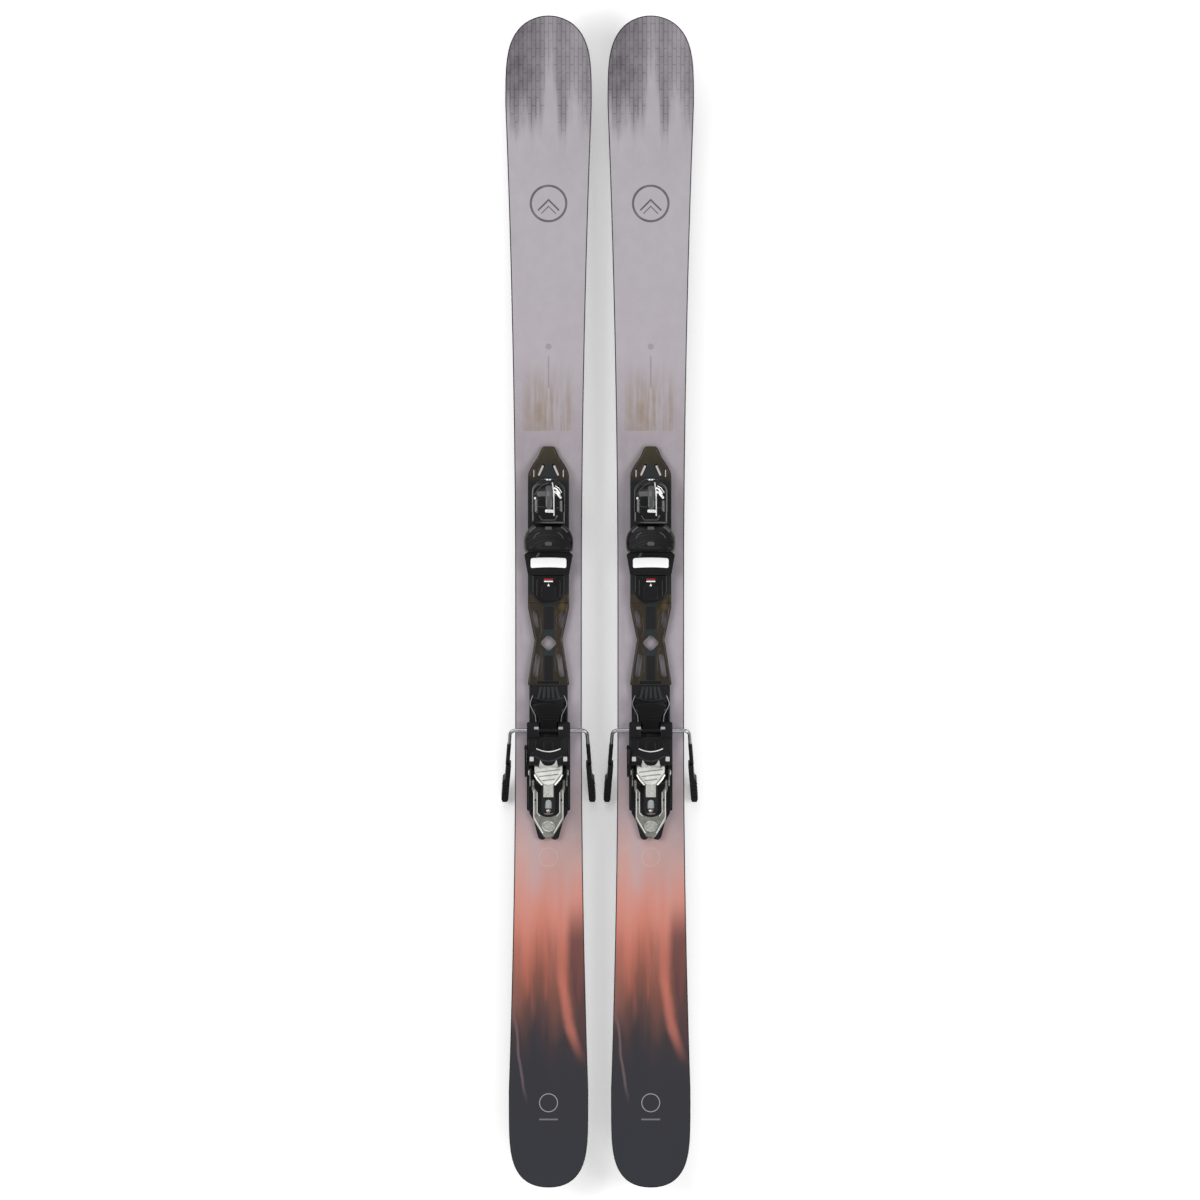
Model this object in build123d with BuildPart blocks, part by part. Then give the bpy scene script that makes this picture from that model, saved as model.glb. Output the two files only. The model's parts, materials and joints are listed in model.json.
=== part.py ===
from build123d import *
import os
from math import cos, pi, radians, sin

# A pair of alpine skis with integrated plate bindings, in millimetres.
# +Y runs to the ski tips, +X to the right ski and +Z up. Y = 0 is half way along the skis,
# X = 0 is half way between them, and Z = 0 is the floor under the deployed brake feet.

# ---- ski plan ----
ski_length = 1620.0
ski_spacing = 141.4
tip_width = 119.5
waist_width = 92.0
tail_width = 110.0
tip_zone = 123.0
tail_zone = 135.0
waist_front_y = -11.0
waist_rear_y = -150.0
tip_power = 4.0
tail_power = 5.0

# ---- ski side profile ----
ski_thickness = 13.0
end_thickness = 6.0
camber = 4.0
shovel_length = 205.0
shovel_rise = 62.0
heel_length = 150.0
tail_rise = 22.0
platform_front_y = 250.0
platform_rear_y = -365.0

# ---- ski layers ----
base_thickness = 1.8
edge_width = 2.0
sidewall_width = 6.0
topsheet_thickness = 0.9
topsheet_ledge = 1.4

# ---- plates ----
plate_width = 57.0
plate_height = 12.0
nose_front_y = 215.0
nose_width = 13.0
nose_height = 6.0
nose_flare_y = 171.0
plate_joint_y = 0.0
bridge_rear_y = -115.0
bridge_waist = 39.0
bridge_waist_y = -53.0
bridge_height = 9.0
heel_track_width = 53.0
heel_track_height = 8.0
heel_track_end_y = -329.0
tongue_rear_y = -138.5
tongue_height = 1.2
groove_width = 20.4
groove_depth = 3.0

# ---- fasteners ----
screw_diameter = 5.4
screw_head_diameter = 9.0
screw_head_height = 3.0
screw_depth = 9.0
screw_floor = 2.0
screw_x = 16.0
toe_screw_rows = (150.0, 20.0)
heel_screw_rows = (-148.0, -216.0)

# ---- toe piece ----
housing_width = 44.0
housing_front_y = 170.0
housing_height = 36.0
toe_pivot_y = 130.0
toe_pin_diameter = 8.0
jaw_gap = 0.5
jaw_width = 69.0
jaw_widest_y = 78.0
jaw_rear_y = 69.0
jaw_top = 50.0
neck_bottom = 22.0
neck_top = 34.0
neck_width = 16.0
slot_half_width = 19.2
boot_toe_radius = 31.0
boot_toe_roof = 41.5
toe_spring_axis_height = 28.0
toe_spring_diameter = 18.0
toe_spring_bore = 10.0
toe_screw_head = 12.0
toe_screw_shank = 8.0

# ---- sliding sole plate ----
collar_front_y = 69.0
collar_rear_y = 37.0
collar_front_width = 67.0
collar_height = 7.5
pad_length = 49.6
pad_breadth = 14.8
pad_thickness = 2.5
pad_y = 53.9
pad_travel = 5.0
pad_stem_half = 10.0
pad_stem_breadth = 9.4
cover_front_y = 36.8
cover_rear_y = -2.6
cover_width = 44.0
cover_thickness = 3.0

# ---- heel piece ----
carriage_width = 60.0
carriage_front_y = -166.0
carriage_rear_y = -289.0
carriage_thickness = 3.7
carriage_gap = 0.3
lip_depth = 5.0
heel_pin_y = -236.0
heel_pin_height = 21.0
heel_pin_diameter = 6.0
ear_inner = 20.0
ear_thickness = 4.0
rocker_half = 19.6
rocker_front_y = -226.0
rocker_rear_y = -292.0
barrel_width = 19.0
neck_y = -253.0
spring_angle = 19.0
heel_spring_diameter = 14.0
heel_spring_bore = 8.0
heel_spring_length = 32.0
heel_screw_shank = 7.0
heel_screw_head_height = 3.0
indicator_length = 12.0
indicator_gap = 2.0
lever_pin_y = -250.0
lever_pin_height = 36.0
lever_pin_diameter = 5.0
lever_angle = 35.0
lever_length = 92.0
lever_half = 23.0
prong_half = 21.0
lever_thickness = 5.0
adjust_pivot_y = -202.0
adjust_length = 40.0

# ---- brake ----
brake_axis_y = -177.8
brake_axis_height = 13.4
brake_angle = 36.0
brake_arm_length = 118.0
brake_wire = 5.0
brake_cross_half = 53.0
brake_foot_half_span = 60.5
brake_bend_radius = 8.0
foot_width = 9.6
foot_height = 15.0
foot_length = 62.0
foot_neck_length = 30.0
pedal_front_width = 43.0
pedal_rear_width = 22.0
pedal_length = 48.0
pedal_thickness = 4.4

# ---- fits ----
running_fit = 0.08
clear = 0.3

# ---- places worked out from the sizes above ----
half_length = ski_length / 2
brake_down = radians(brake_angle)
brake_axis_z = brake_arm_length * sin(brake_down) + foot_height / 2 * cos(brake_down)
deck_z = brake_axis_z - brake_axis_height
underfoot_z = deck_z - ski_thickness
base_z = underfoot_z - camber
contact_front_y = half_length - shovel_length
contact_rear_y = heel_length - half_length
plate_top = deck_z + plate_height
track_top = deck_z + heel_track_height
carriage_top = track_top + carriage_gap + carriage_thickness
housing_top = plate_top + housing_height
# the wings just clear the sliding pad that they swing over
jaw_bottom = plate_height + collar_height + pad_thickness + 2 * clear

brake_plane = Plane(
    origin=(0, brake_axis_y, brake_axis_z),
    x_dir=(1, 0, 0),
    z_dir=(0, -sin(brake_down), cos(brake_down)),
)
lever_up = radians(lever_angle)
lever_plane = Plane(
    origin=(0, lever_pin_y, deck_z + lever_pin_height),
    x_dir=(-1, 0, 0),
    z_dir=(0, sin(lever_up), cos(lever_up)),
)
spring_up = radians(spring_angle)
# the heel spring's axis, starting at the open end of its bore and running forward and down
spring_plane = Plane(
    origin=(0, rocker_rear_y, deck_z + 54.0),
    x_dir=(1, 0, 0),
    z_dir=(0, cos(spring_up), -sin(spring_up)),
)

pieces = {}


# ---------------------------------------------------------------- the ski


def base_height(y):
    """Height of the running surface: flat underfoot, a half cosine down to each contact
    point, then a parabola up to the end."""
    front = y > 0
    flat_end = platform_front_y if front else -platform_rear_y
    contact = contact_front_y if front else -contact_rear_y
    rise = shovel_rise if front else tail_rise
    out = abs(y)
    if out <= flat_end:
        return base_z + camber
    if out <= contact:
        share = (out - flat_end) / (contact - flat_end)
        return base_z + camber * (1 + cos(pi * share)) / 2
    return base_z + rise * ((out - contact) / (half_length - contact)) ** 2


def thickness(y):
    """Full thickness underfoot, thinning along a half cosine to each end."""
    flat_end = platform_front_y if y > 0 else -platform_rear_y
    out = abs(y)
    if out <= flat_end:
        return ski_thickness
    share = min((out - flat_end) / (half_length - flat_end), 1.0)
    return end_thickness + (ski_thickness - end_thickness) * (1 + cos(pi * share)) / 2


def above_base(y, height):
    return base_height(y) + height


def below_top(y, depth):
    return base_height(y) + thickness(y) - depth


def boundary(surface, amount):
    """One long side of a layer: a curve to the tail, the straight platform, a curve to the tip."""
    reach = half_length + 2.0
    halves = []
    for flat_end, contact, end in (
        (platform_rear_y, contact_rear_y, -reach),
        (platform_front_y, contact_front_y, reach),
    ):
        stations = [
            flat_end,
            flat_end + (contact - flat_end) * 0.33,
            flat_end + (contact - flat_end) * 0.67,
            contact,
            contact + (end - contact) * 0.35,
            contact + (end - contact) * 0.7,
            end,
        ]
        points = [(y, surface(y, amount)) for y in stations]
        step = 1.0 if end > 0 else -1.0
        slope = surface(end, amount) - surface(end - step, amount)
        halves.append(Spline(*points, tangents=[(step, 0), (step, slope)]))
    Line(halves[0] @ 0, halves[1] @ 0)
    return halves[0] @ 1, halves[1] @ 1


def layer_band(lower, lower_amount, upper, upper_amount):
    """The side view of one layer, between two boundaries."""
    with BuildSketch(Plane.YZ) as band:
        with BuildLine():
            low_tail, low_tip = boundary(lower, lower_amount)
            top_tail, top_tip = boundary(upper, upper_amount)
            Line(low_tail, top_tail)
            Line(low_tip, top_tip)
        make_face()
    return band.sketch


def end_curve(half_width, start_y, end_y, power, exponent):
    """Rounded end of the plan: half width times (1 - u ** power) ** exponent, u from 0 to 1."""
    shares = [0.0, 0.3, 0.5, 0.65, 0.78, 0.88, 0.95, 0.988, 1.0]
    return [
        (half_width * (1 - u**power) ** exponent, start_y + (end_y - start_y) * u) for u in shares
    ]


def ski_outline(inset):
    """The plan of the ski, drawn in by inset: two long sidecut arcs, a straight waist and
    two rounded ends."""
    tip_half = tip_width / 2 - inset
    waist_half = waist_width / 2 - inset
    tail_half = tail_width / 2 - inset
    tip_y = half_length - tip_zone
    tail_y = tail_zone - half_length
    tip_points = end_curve(tip_half, tip_y, half_length - inset, tip_power, 0.5)
    tail_points = end_curve(tail_half, tail_y, inset - half_length, tail_power, 0.45)
    front_middle = (tip_y + waist_front_y) / 2
    rear_middle = (tail_y + waist_rear_y) / 2
    with BuildSketch() as outline:
        with BuildLine():
            Spline(*tip_points, tangents=[(0, 1), (-1, 0)])
            ThreePointArc(
                (waist_half, waist_front_y),
                (waist_half + (tip_half - waist_half) / 4, front_middle),
                tip_points[0],
            )
            Line((waist_half, waist_front_y), (waist_half, waist_rear_y))
            ThreePointArc(
                (waist_half, waist_rear_y),
                (waist_half + (tail_half - waist_half) / 4, rear_middle),
                tail_points[0],
            )
            Spline(*tail_points, tangents=[(0, -1), (-1, 0)])
            mirror(about=Plane.YZ)
        make_face()
    return outline.sketch


def ski_layer(inset, lower, lower_amount, upper, upper_amount):
    """A layer of the ski: its plan, cut by its side view."""
    band = layer_band(lower, lower_amount, upper, upper_amount)
    with BuildPart() as layer:
        extrude(ski_outline(inset), amount=deck_z + shovel_rise * 2)
        extrude(band, amount=tip_width, both=True, mode=Mode.INTERSECT)
    return layer.part


def screw_places():
    rows = toe_screw_rows + heel_screw_rows
    return [(side * screw_x, y) for y in rows for side in (-1, 1)]


def screw_circles(places, diameter, height):
    """Circles for the plate screws at a height above the deck."""
    with BuildSketch(Plane.XY.offset(deck_z + height)) as circles:
        with Locations(*places):
            Circle(diameter / 2)
    return circles.sketch


def drill_for_screws():
    """Screw holes down from the deck."""
    circles = screw_circles(screw_places(), screw_diameter, 0)
    extrude(circles, amount=-screw_depth, mode=Mode.SUBTRACT)


def make_ski():
    pieces["base"] = ski_layer(edge_width, above_base, 0, above_base, base_thickness)

    with BuildPart() as edges:
        add(ski_layer(0, above_base, 0, above_base, base_thickness))
        extrude(ski_outline(edge_width), amount=deck_z + shovel_rise * 2, mode=Mode.SUBTRACT)
    pieces["edges"] = edges.part

    with BuildPart() as core:
        add(ski_layer(sidewall_width, above_base, base_thickness, below_top, topsheet_thickness))
        drill_for_screws()
    pieces["core"] = core.part

    with BuildPart() as sidewalls:
        add(ski_layer(0, above_base, base_thickness, below_top, topsheet_thickness))
        extrude(ski_outline(sidewall_width), amount=deck_z + shovel_rise * 2, mode=Mode.SUBTRACT)
    pieces["sidewalls"] = sidewalls.part

    with BuildPart() as topsheet:
        add(ski_layer(topsheet_ledge, below_top, topsheet_thickness, below_top, 0))
        drill_for_screws()
    pieces["topsheet"] = topsheet.part

    with BuildPart() as screws:
        extrude(
            screw_circles(screw_places(), screw_head_diameter, screw_floor),
            amount=screw_head_height,
        )
        extrude(
            screw_circles(screw_places(), screw_diameter, screw_floor),
            amount=-screw_depth - screw_floor,
        )
        with BuildSketch(Plane.XY.offset(deck_z + screw_floor + screw_head_height)):
            with Locations(*screw_places()):
                Rectangle(5.2, 1.3)
                Rectangle(1.3, 5.2)
        extrude(amount=-1.6, mode=Mode.SUBTRACT)
    pieces["screws"] = screws.part


# ---------------------------------------------------------------- the plates


def counterbore(rows, height):
    """Through holes and head recesses for the plate screws."""
    places = [(side * screw_x, y) for y in rows for side in (-1, 1)]
    extrude(screw_circles(places, screw_diameter, 0), amount=height, mode=Mode.SUBTRACT)
    recess = screw_circles(places, screw_head_diameter + 2 * clear, screw_floor)
    extrude(recess, amount=height, mode=Mode.SUBTRACT)


def make_plates():
    half = plate_width / 2

    with BuildPart() as toe_track:
        with BuildSketch(Plane.XY.offset(deck_z)):
            with BuildLine():
                Polyline((0, nose_front_y), (nose_width / 2, nose_front_y))
                flare = [(0.0, 1.0), (0.33, 0.72), (0.55, 0.54), (0.76, 0.38), (0.96, 0.17), (1.0, 0.0)]
                Spline(
                    *[
                        (
                            nose_width / 2 + (half - nose_width / 2) * out,
                            nose_flare_y + (nose_front_y - nose_flare_y) * forward,
                        )
                        for out, forward in flare
                    ],
                    tangents=[(1, -0.6), (0, -1)],
                )
                Polyline((half, nose_flare_y), (half, plate_joint_y), (0, plate_joint_y))
                mirror(about=Plane.YZ)
            make_face()
        extrude(amount=plate_height)
        with BuildSketch(Plane.YZ):
            with BuildLine():
                Polyline(
                    (nose_front_y + 5, deck_z + nose_height),
                    (nose_front_y, deck_z + nose_height),
                    (housing_front_y + 2, plate_top),
                    (housing_front_y + 2, plate_top + 5),
                    (nose_front_y + 5, plate_top + 5),
                    close=True,
                )
            make_face()
        extrude(amount=plate_width, both=True, mode=Mode.SUBTRACT)
        with BuildSketch(Plane.XY.offset(deck_z)):
            for side in (-1, 1):
                with Locations((side * 10.3, 182)):
                    SlotCenterToCenter(14, 4.4, rotation=90 + side * 26)
                with Locations((side * 20.0, 178)):
                    SlotCenterToCenter(9, 2.4, rotation=90)
        extrude(amount=plate_height, mode=Mode.SUBTRACT)
        counterbore(toe_screw_rows, plate_height)
    pieces["toe_track"] = toe_track.part

    with BuildPart() as bridge:
        waist_half = bridge_waist / 2
        with BuildSketch(Plane.XY.offset(deck_z)):
            with BuildLine():
                Polyline(
                    (0, plate_joint_y),
                    (half, plate_joint_y),
                    (half, plate_joint_y - 8),
                    (waist_half, bridge_waist_y + 2),
                )
                ThreePointArc(
                    (waist_half, bridge_waist_y + 2),
                    (waist_half - 0.5, bridge_waist_y),
                    (waist_half, bridge_waist_y - 2),
                )
                Polyline(
                    (waist_half, bridge_waist_y - 2),
                    (half - 2, bridge_rear_y + 17),
                    (half, bridge_rear_y + 4),
                    (half, bridge_rear_y),
                    (0, bridge_rear_y),
                )
                mirror(about=Plane.YZ)
            make_face()
            with Locations((0, bridge_waist_y - 4)):
                RectangleRounded(17.0, 17.0, 4, rotation=45, mode=Mode.SUBTRACT)
            for side in (-1, 1):
                with Locations((side * 18.0, plate_joint_y - 24)):
                    SlotCenterToCenter(19, 5.6, rotation=90 - side * 8, mode=Mode.SUBTRACT)
                with Locations((side * 16.5, bridge_rear_y + 27)):
                    SlotCenterToCenter(26, 6.4, rotation=90 + side * 8, mode=Mode.SUBTRACT)
        extrude(amount=bridge_height)
        with BuildSketch(Plane.XY.offset(deck_z + bridge_height)):
            with Locations((0, bridge_rear_y + 3)):
                Rectangle(30, 4)
        extrude(amount=-2, mode=Mode.SUBTRACT)
    pieces["bridge"] = bridge.part

    with BuildPart() as heel_track:
        track_half = heel_track_width / 2
        end_y = heel_track_end_y
        with BuildSketch(Plane.XY.offset(deck_z)):
            with BuildLine():
                Polyline(
                    (0, bridge_rear_y),
                    (track_half, bridge_rear_y),
                    (track_half, end_y + 37),
                    (20, end_y + 25),
                    (15, end_y + 6),
                )
                ThreePointArc((15, end_y + 6), (9, end_y), (3, end_y + 4))
                Line((3, end_y + 4), (0, end_y + 5))
                mirror(about=Plane.YZ)
            make_face()
        extrude(amount=heel_track_height)
        with BuildSketch(Plane.XY.offset(track_top)):
            with BuildLine():
                Polyline((0, bridge_rear_y), (15, bridge_rear_y), (22, tongue_rear_y + 4))
                ThreePointArc((22, tongue_rear_y + 4), (12, tongue_rear_y + 1), (0, tongue_rear_y))
                mirror(about=Plane.YZ)
            make_face()
        extrude(amount=tongue_height)
        with BuildSketch(Plane.XY.offset(track_top)):
            with Locations((0, (carriage_front_y + 14 + end_y + 12) / 2)):
                Rectangle(groove_width, carriage_front_y + 14 - (end_y + 12))
        extrude(amount=-groove_depth, mode=Mode.SUBTRACT)
        counterbore(heel_screw_rows, heel_track_height)
    pieces["heel_track"] = heel_track.part

    with BuildPart() as toe_cover:
        cover_half = cover_width / 2
        with BuildSketch(Plane.XY.offset(plate_top)):
            with BuildLine():
                Polyline((0, cover_front_y), (cover_half, cover_front_y), (cover_half, 16))
                ThreePointArc((cover_half, 16), (cover_half * 0.72, 3), (0, cover_rear_y))
                mirror(about=Plane.YZ)
            make_face()
        extrude(amount=cover_thickness)
    pieces["toe_cover"] = toe_cover.part


# ---------------------------------------------------------------- the toe piece


def make_toe():
    half = housing_width / 2
    axis_z = deck_z + toe_spring_axis_height
    wall_y = housing_front_y - 10
    spring_rear_y = toe_pivot_y + 11.5

    with BuildPart() as toe_housing:
        with BuildSketch(Plane.XY.offset(plate_top)):
            with BuildLine():
                front = housing_front_y
                ThreePointArc((half, front - 14), (0, front), (-half, front - 14))
                Line((half, front - 14), (half, toe_pivot_y))
                Line((-half, front - 14), (-half, toe_pivot_y))
                ThreePointArc((half, toe_pivot_y), (0, toe_pivot_y - half), (-half, toe_pivot_y))
            make_face()
        extrude(amount=housing_height)
        with BuildSketch(Plane.YZ):
            with BuildLine():
                Line((front + 5, plate_top), (front, plate_top + 12))
                ThreePointArc(
                    (front, plate_top + 12),
                    (front - 11, plate_top + 27),
                    (front - 30, housing_top),
                )
                Polyline(
                    (front - 30, housing_top),
                    (front - 30, housing_top + 10),
                    (front + 5, housing_top + 10),
                    (front + 5, plate_top),
                )
            make_face()
        extrude(amount=housing_width, both=True, mode=Mode.SUBTRACT)
        with BuildSketch(Plane.XY.offset(deck_z + neck_bottom - clear)):
            with Locations((0, toe_pivot_y - half / 2)):
                Rectangle(slot_half_width * 2, half * 1.0 + 23)
        extrude(amount=neck_top - neck_bottom + 2 * clear, mode=Mode.SUBTRACT)
        with BuildSketch(Plane.XZ.offset(-wall_y)):
            with Locations((0, axis_z)):
                Circle(toe_spring_diameter / 2 + clear)
        extrude(amount=wall_y - spring_rear_y + 2, mode=Mode.SUBTRACT)
        with BuildSketch(Plane.XZ.offset(-front - 1)):
            with Locations((0, axis_z)):
                Circle(toe_screw_shank / 2 + running_fit)
        extrude(amount=20, mode=Mode.SUBTRACT)
        with BuildSketch(Plane.XZ.offset(-front - 1)):
            with Locations((0, axis_z)):
                Circle(toe_screw_head / 2 + running_fit)
        extrude(amount=6, mode=Mode.SUBTRACT)
        with BuildSketch(Plane.XY.offset(plate_top)):
            with Locations((0, toe_pivot_y)):
                Circle(toe_pin_diameter / 2)
        extrude(amount=housing_height - 3, mode=Mode.SUBTRACT)
        with BuildSketch(Plane.XY.offset(plate_top)):
            with Locations(*[(side * screw_x, toe_screw_rows[0]) for side in (-1, 1)]):
                Circle(screw_head_diameter / 2)
        extrude(amount=1.0, mode=Mode.SUBTRACT)
    pieces["toe_housing"] = toe_housing.part

    with BuildPart() as toe_pin:
        with BuildSketch(Plane.XY.offset(plate_top)):
            with Locations((0, toe_pivot_y)):
                Circle(toe_pin_diameter / 2)
        extrude(amount=housing_height - 3)
    pieces["toe_pin"] = toe_pin.part

    with BuildPart() as toe_spring:
        with BuildSketch(Plane.XZ.offset(-wall_y)):
            with Locations((0, axis_z)):
                Circle(toe_spring_diameter / 2)
                Circle(toe_spring_bore / 2, mode=Mode.SUBTRACT)
        extrude(amount=wall_y - spring_rear_y)
    pieces["toe_spring"] = toe_spring.part

    with BuildPart() as toe_screw:
        with BuildSketch(Plane.XZ.offset(-front)):
            with Locations((0, axis_z)):
                Circle(toe_screw_head / 2)
        extrude(amount=4.5)
        with BuildSketch(Plane.XZ.offset(-front)):
            with Locations((0, axis_z)):
                Circle(toe_screw_shank / 2)
        extrude(amount=22)
        with BuildSketch(Plane.XZ.offset(-front)):
            with Locations((0, axis_z)):
                Rectangle(8, 1.6)
        extrude(amount=1.5, mode=Mode.SUBTRACT)
    pieces["toe_screw"] = toe_screw.part

    with BuildPart() as toe_jaw:
        jaw_half = jaw_width / 2
        inner = half + jaw_gap
        start_angle = 40.0
        start_x = inner * cos(radians(start_angle))
        start_y = toe_pivot_y - inner * sin(radians(start_angle))
        with BuildSketch(Plane.XY.offset(deck_z + jaw_bottom)):
            with BuildLine():
                ThreePointArc((start_x, start_y), (0, toe_pivot_y - inner), (-start_x, start_y))
                for side in (-1, 1):
                    shoulder_x = side * (start_x + 3.5)
                    shoulder_y = jaw_widest_y + 29.5
                    Polyline((side * start_x, start_y), (shoulder_x, shoulder_y))
                    ThreePointArc(
                        (shoulder_x, shoulder_y),
                        (side * (jaw_half - 3.7), shoulder_y - 10),
                        (side * jaw_half, jaw_widest_y),
                    )
                    Polyline(
                        (side * jaw_half, jaw_widest_y),
                        (side * (jaw_half - 2.5), jaw_rear_y),
                        (0, jaw_rear_y),
                    )
            make_face()
        extrude(amount=jaw_top - jaw_bottom)
        with BuildSketch(Plane.YZ):
            with BuildLine():
                Polyline(
                    (jaw_rear_y - 5, deck_z + jaw_top - 6),
                    (jaw_rear_y + 8, deck_z + jaw_top),
                    (jaw_rear_y + 8, deck_z + jaw_top + 5),
                    (jaw_rear_y - 5, deck_z + jaw_top + 5),
                    close=True,
                )
            make_face()
        extrude(amount=jaw_width, both=True, mode=Mode.SUBTRACT)
        with BuildSketch(Plane.XY.offset(deck_z + jaw_bottom)):
            with Locations((0, jaw_widest_y + 2 - boot_toe_radius)):
                Circle(boot_toe_radius)
        extrude(amount=boot_toe_roof - jaw_bottom, mode=Mode.SUBTRACT)
        with BuildSketch(Plane.XY.offset(deck_z + neck_bottom)):
            with Locations((0, (toe_pivot_y + toe_pivot_y - inner - 2) / 2)):
                Rectangle(neck_width, inner + 2)
            with Locations((0, toe_pivot_y)):
                Circle(neck_width / 2 + 2)
        extrude(amount=neck_top - neck_bottom)
        with BuildSketch(Plane.XY.offset(deck_z + neck_bottom)):
            with Locations((0, toe_pivot_y)):
                Circle(toe_pin_diameter / 2 + running_fit)
        extrude(amount=neck_top - neck_bottom, mode=Mode.SUBTRACT)
    pieces["toe_jaw"] = toe_jaw.part

    collar_top = plate_top + collar_height
    stem_bottom = collar_top - 3.6
    with BuildPart() as sole_collar:
        with BuildSketch(Plane.XY.offset(plate_top)):
            with BuildLine():
                Polyline(
                    (-plate_width / 2, collar_rear_y),
                    (-collar_front_width / 2, collar_front_y - 4),
                    (-collar_front_width / 2 + 4, collar_front_y),
                    (collar_front_width / 2 - 4, collar_front_y),
                    (collar_front_width / 2, collar_front_y - 4),
                    (plate_width / 2, collar_rear_y),
                    close=True,
                )
            make_face()
        extrude(amount=collar_height)
        with BuildSketch(Plane.XY.offset(collar_top)):
            with Locations((0, pad_y)):
                Rectangle(2 * (pad_stem_half + pad_travel + clear), pad_stem_breadth + 2 * clear)
        extrude(amount=stem_bottom - clear - collar_top, mode=Mode.SUBTRACT)
    pieces["sole_collar"] = sole_collar.part

    with BuildPart() as sole_pad:
        with BuildSketch(Plane.XY.offset(collar_top + clear)):
            with Locations((0, pad_y)):
                RectangleRounded(pad_length, pad_breadth, 3)
        extrude(amount=pad_thickness)
        chamfer(sole_pad.edges().group_by(Axis.Z)[-1], 0.6)
        with BuildSketch(Plane.XY.offset(stem_bottom)):
            with Locations((0, pad_y)):
                Rectangle(2 * pad_stem_half, pad_stem_breadth)
        extrude(amount=collar_top + clear - stem_bottom)
    pieces["sole_pad"] = sole_pad.part


# ---------------------------------------------------------------- the heel piece


def make_carriage():
    half = carriage_width / 2
    plate_bottom = track_top + carriage_gap
    pin_z = deck_z + heel_pin_height
    hub_half = 13.0 + 2 * clear
    length = carriage_front_y - carriage_rear_y
    middle_y = (carriage_front_y + carriage_rear_y) / 2
    bearing_length = 18.0
    lip_inner = heel_track_width / 2 + clear

    with BuildPart() as heel_carriage:
        with BuildSketch(Plane.XY.offset(plate_bottom)):
            with Locations((0, middle_y)):
                RectangleRounded(carriage_width, length, 3)
        extrude(amount=carriage_thickness)
        for side in (-1, 1):
            with BuildSketch(Plane.XY.offset(plate_bottom)):
                with Locations((side * (lip_inner + half) / 2, middle_y)):
                    Rectangle(half - lip_inner, length - 8)
            extrude(amount=-lip_depth)
            with BuildSketch(Plane.XY.offset(plate_bottom)):
                with Locations((side * (hub_half + half) / 2, brake_axis_y)):
                    Rectangle(half - hub_half, bearing_length)
            extrude(amount=brake_axis_height + brake_wire / 2 + 2.4 - heel_track_height)
            with BuildSketch(Plane.YZ.offset(side * (ear_inner + ear_thickness / 2))):
                with BuildLine():
                    Polyline(
                        (heel_pin_y - 11, carriage_top),
                        (heel_pin_y - 6.5, pin_z),
                        (heel_pin_y + 6.5, pin_z),
                        (heel_pin_y + 9, carriage_top),
                        close=True,
                    )
                make_face()
                with Locations((heel_pin_y, pin_z)):
                    Circle(6.5)
            extrude(amount=ear_thickness / 2, both=True)
        notch_rear_y = brake_axis_y - bearing_length / 2
        with BuildSketch(Plane.XY.offset(plate_bottom)):
            with Locations((0, (notch_rear_y + carriage_front_y) / 2)):
                Rectangle(2 * hub_half, carriage_front_y - notch_rear_y)
        extrude(amount=carriage_thickness, mode=Mode.SUBTRACT)
        with BuildSketch(Plane.XY.offset(plate_bottom)):
            with Locations((0, (brake_axis_y - 12 + carriage_rear_y) / 2)):
                Rectangle(groove_width - 2 * clear, brake_axis_y - 12 - carriage_rear_y)
        extrude(amount=-groove_depth - carriage_gap + clear)
        with BuildSketch(Plane.YZ.offset(-half - 3.6)):
            with Locations((adjust_pivot_y, deck_z + 12.6)):
                Circle(2.0)
        extrude(amount=3.6)
        with BuildSketch(Plane.YZ):
            with Locations((brake_axis_y, brake_axis_z)):
                Circle(brake_wire / 2 + running_fit)
            with Locations((heel_pin_y, pin_z)):
                Circle(heel_pin_diameter / 2)
        extrude(amount=carriage_width, both=True, mode=Mode.SUBTRACT)
    pieces["heel_carriage"] = heel_carriage.part

    with BuildPart() as adjust_lever:
        with BuildSketch(Plane.YZ.offset(-half - clear)):
            with BuildLine():
                Polyline(
                    (adjust_pivot_y + 4, deck_z + 10),
                    (adjust_pivot_y + 4, deck_z + 16),
                    (adjust_pivot_y - 12, deck_z + 17),
                    (adjust_pivot_y - adjust_length, deck_z + 15),
                    (adjust_pivot_y - adjust_length, deck_z + 11),
                    (adjust_pivot_y - 12, deck_z + 10),
                    close=True,
                )
            make_face()
            with Locations((adjust_pivot_y, deck_z + 12.6)):
                Circle(2.0 + running_fit, mode=Mode.SUBTRACT)
        extrude(amount=-2.7)
        with BuildSketch(Plane.XY.offset(carriage_top + 0.6)):
            with Locations((-half + 1.2, adjust_pivot_y - adjust_length + 9)):
                Rectangle(3.0 + 2 * clear, 18)
        extrude(amount=2.6)
    pieces["adjust_lever"] = adjust_lever.part

    with BuildPart() as heel_pin:
        with BuildSketch(Plane.YZ):
            with Locations((heel_pin_y, pin_z)):
                Circle(heel_pin_diameter / 2)
        extrude(amount=ear_inner + ear_thickness, both=True)
    pieces["heel_pin"] = heel_pin.part


def rocker_profile(drop):
    """Side view of the heel rocker's body, drawn drop millimetres under its top faces."""
    pin_z = deck_z + heel_pin_height
    with BuildSketch(Plane.YZ) as profile:
        with BuildLine():
            Polyline(
                (rocker_front_y, deck_z + 17),
                (rocker_front_y, deck_z + 44 - drop),
                (neck_y, deck_z + 50 - drop),
                (rocker_rear_y, deck_z + 63 - drop),
                (rocker_rear_y, deck_z + 44),
                (lever_pin_y - 10, deck_z + 29),
                (heel_pin_y - 7, pin_z - 1),
                close=True,
            )
        make_face()
    return profile.sketch


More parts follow.
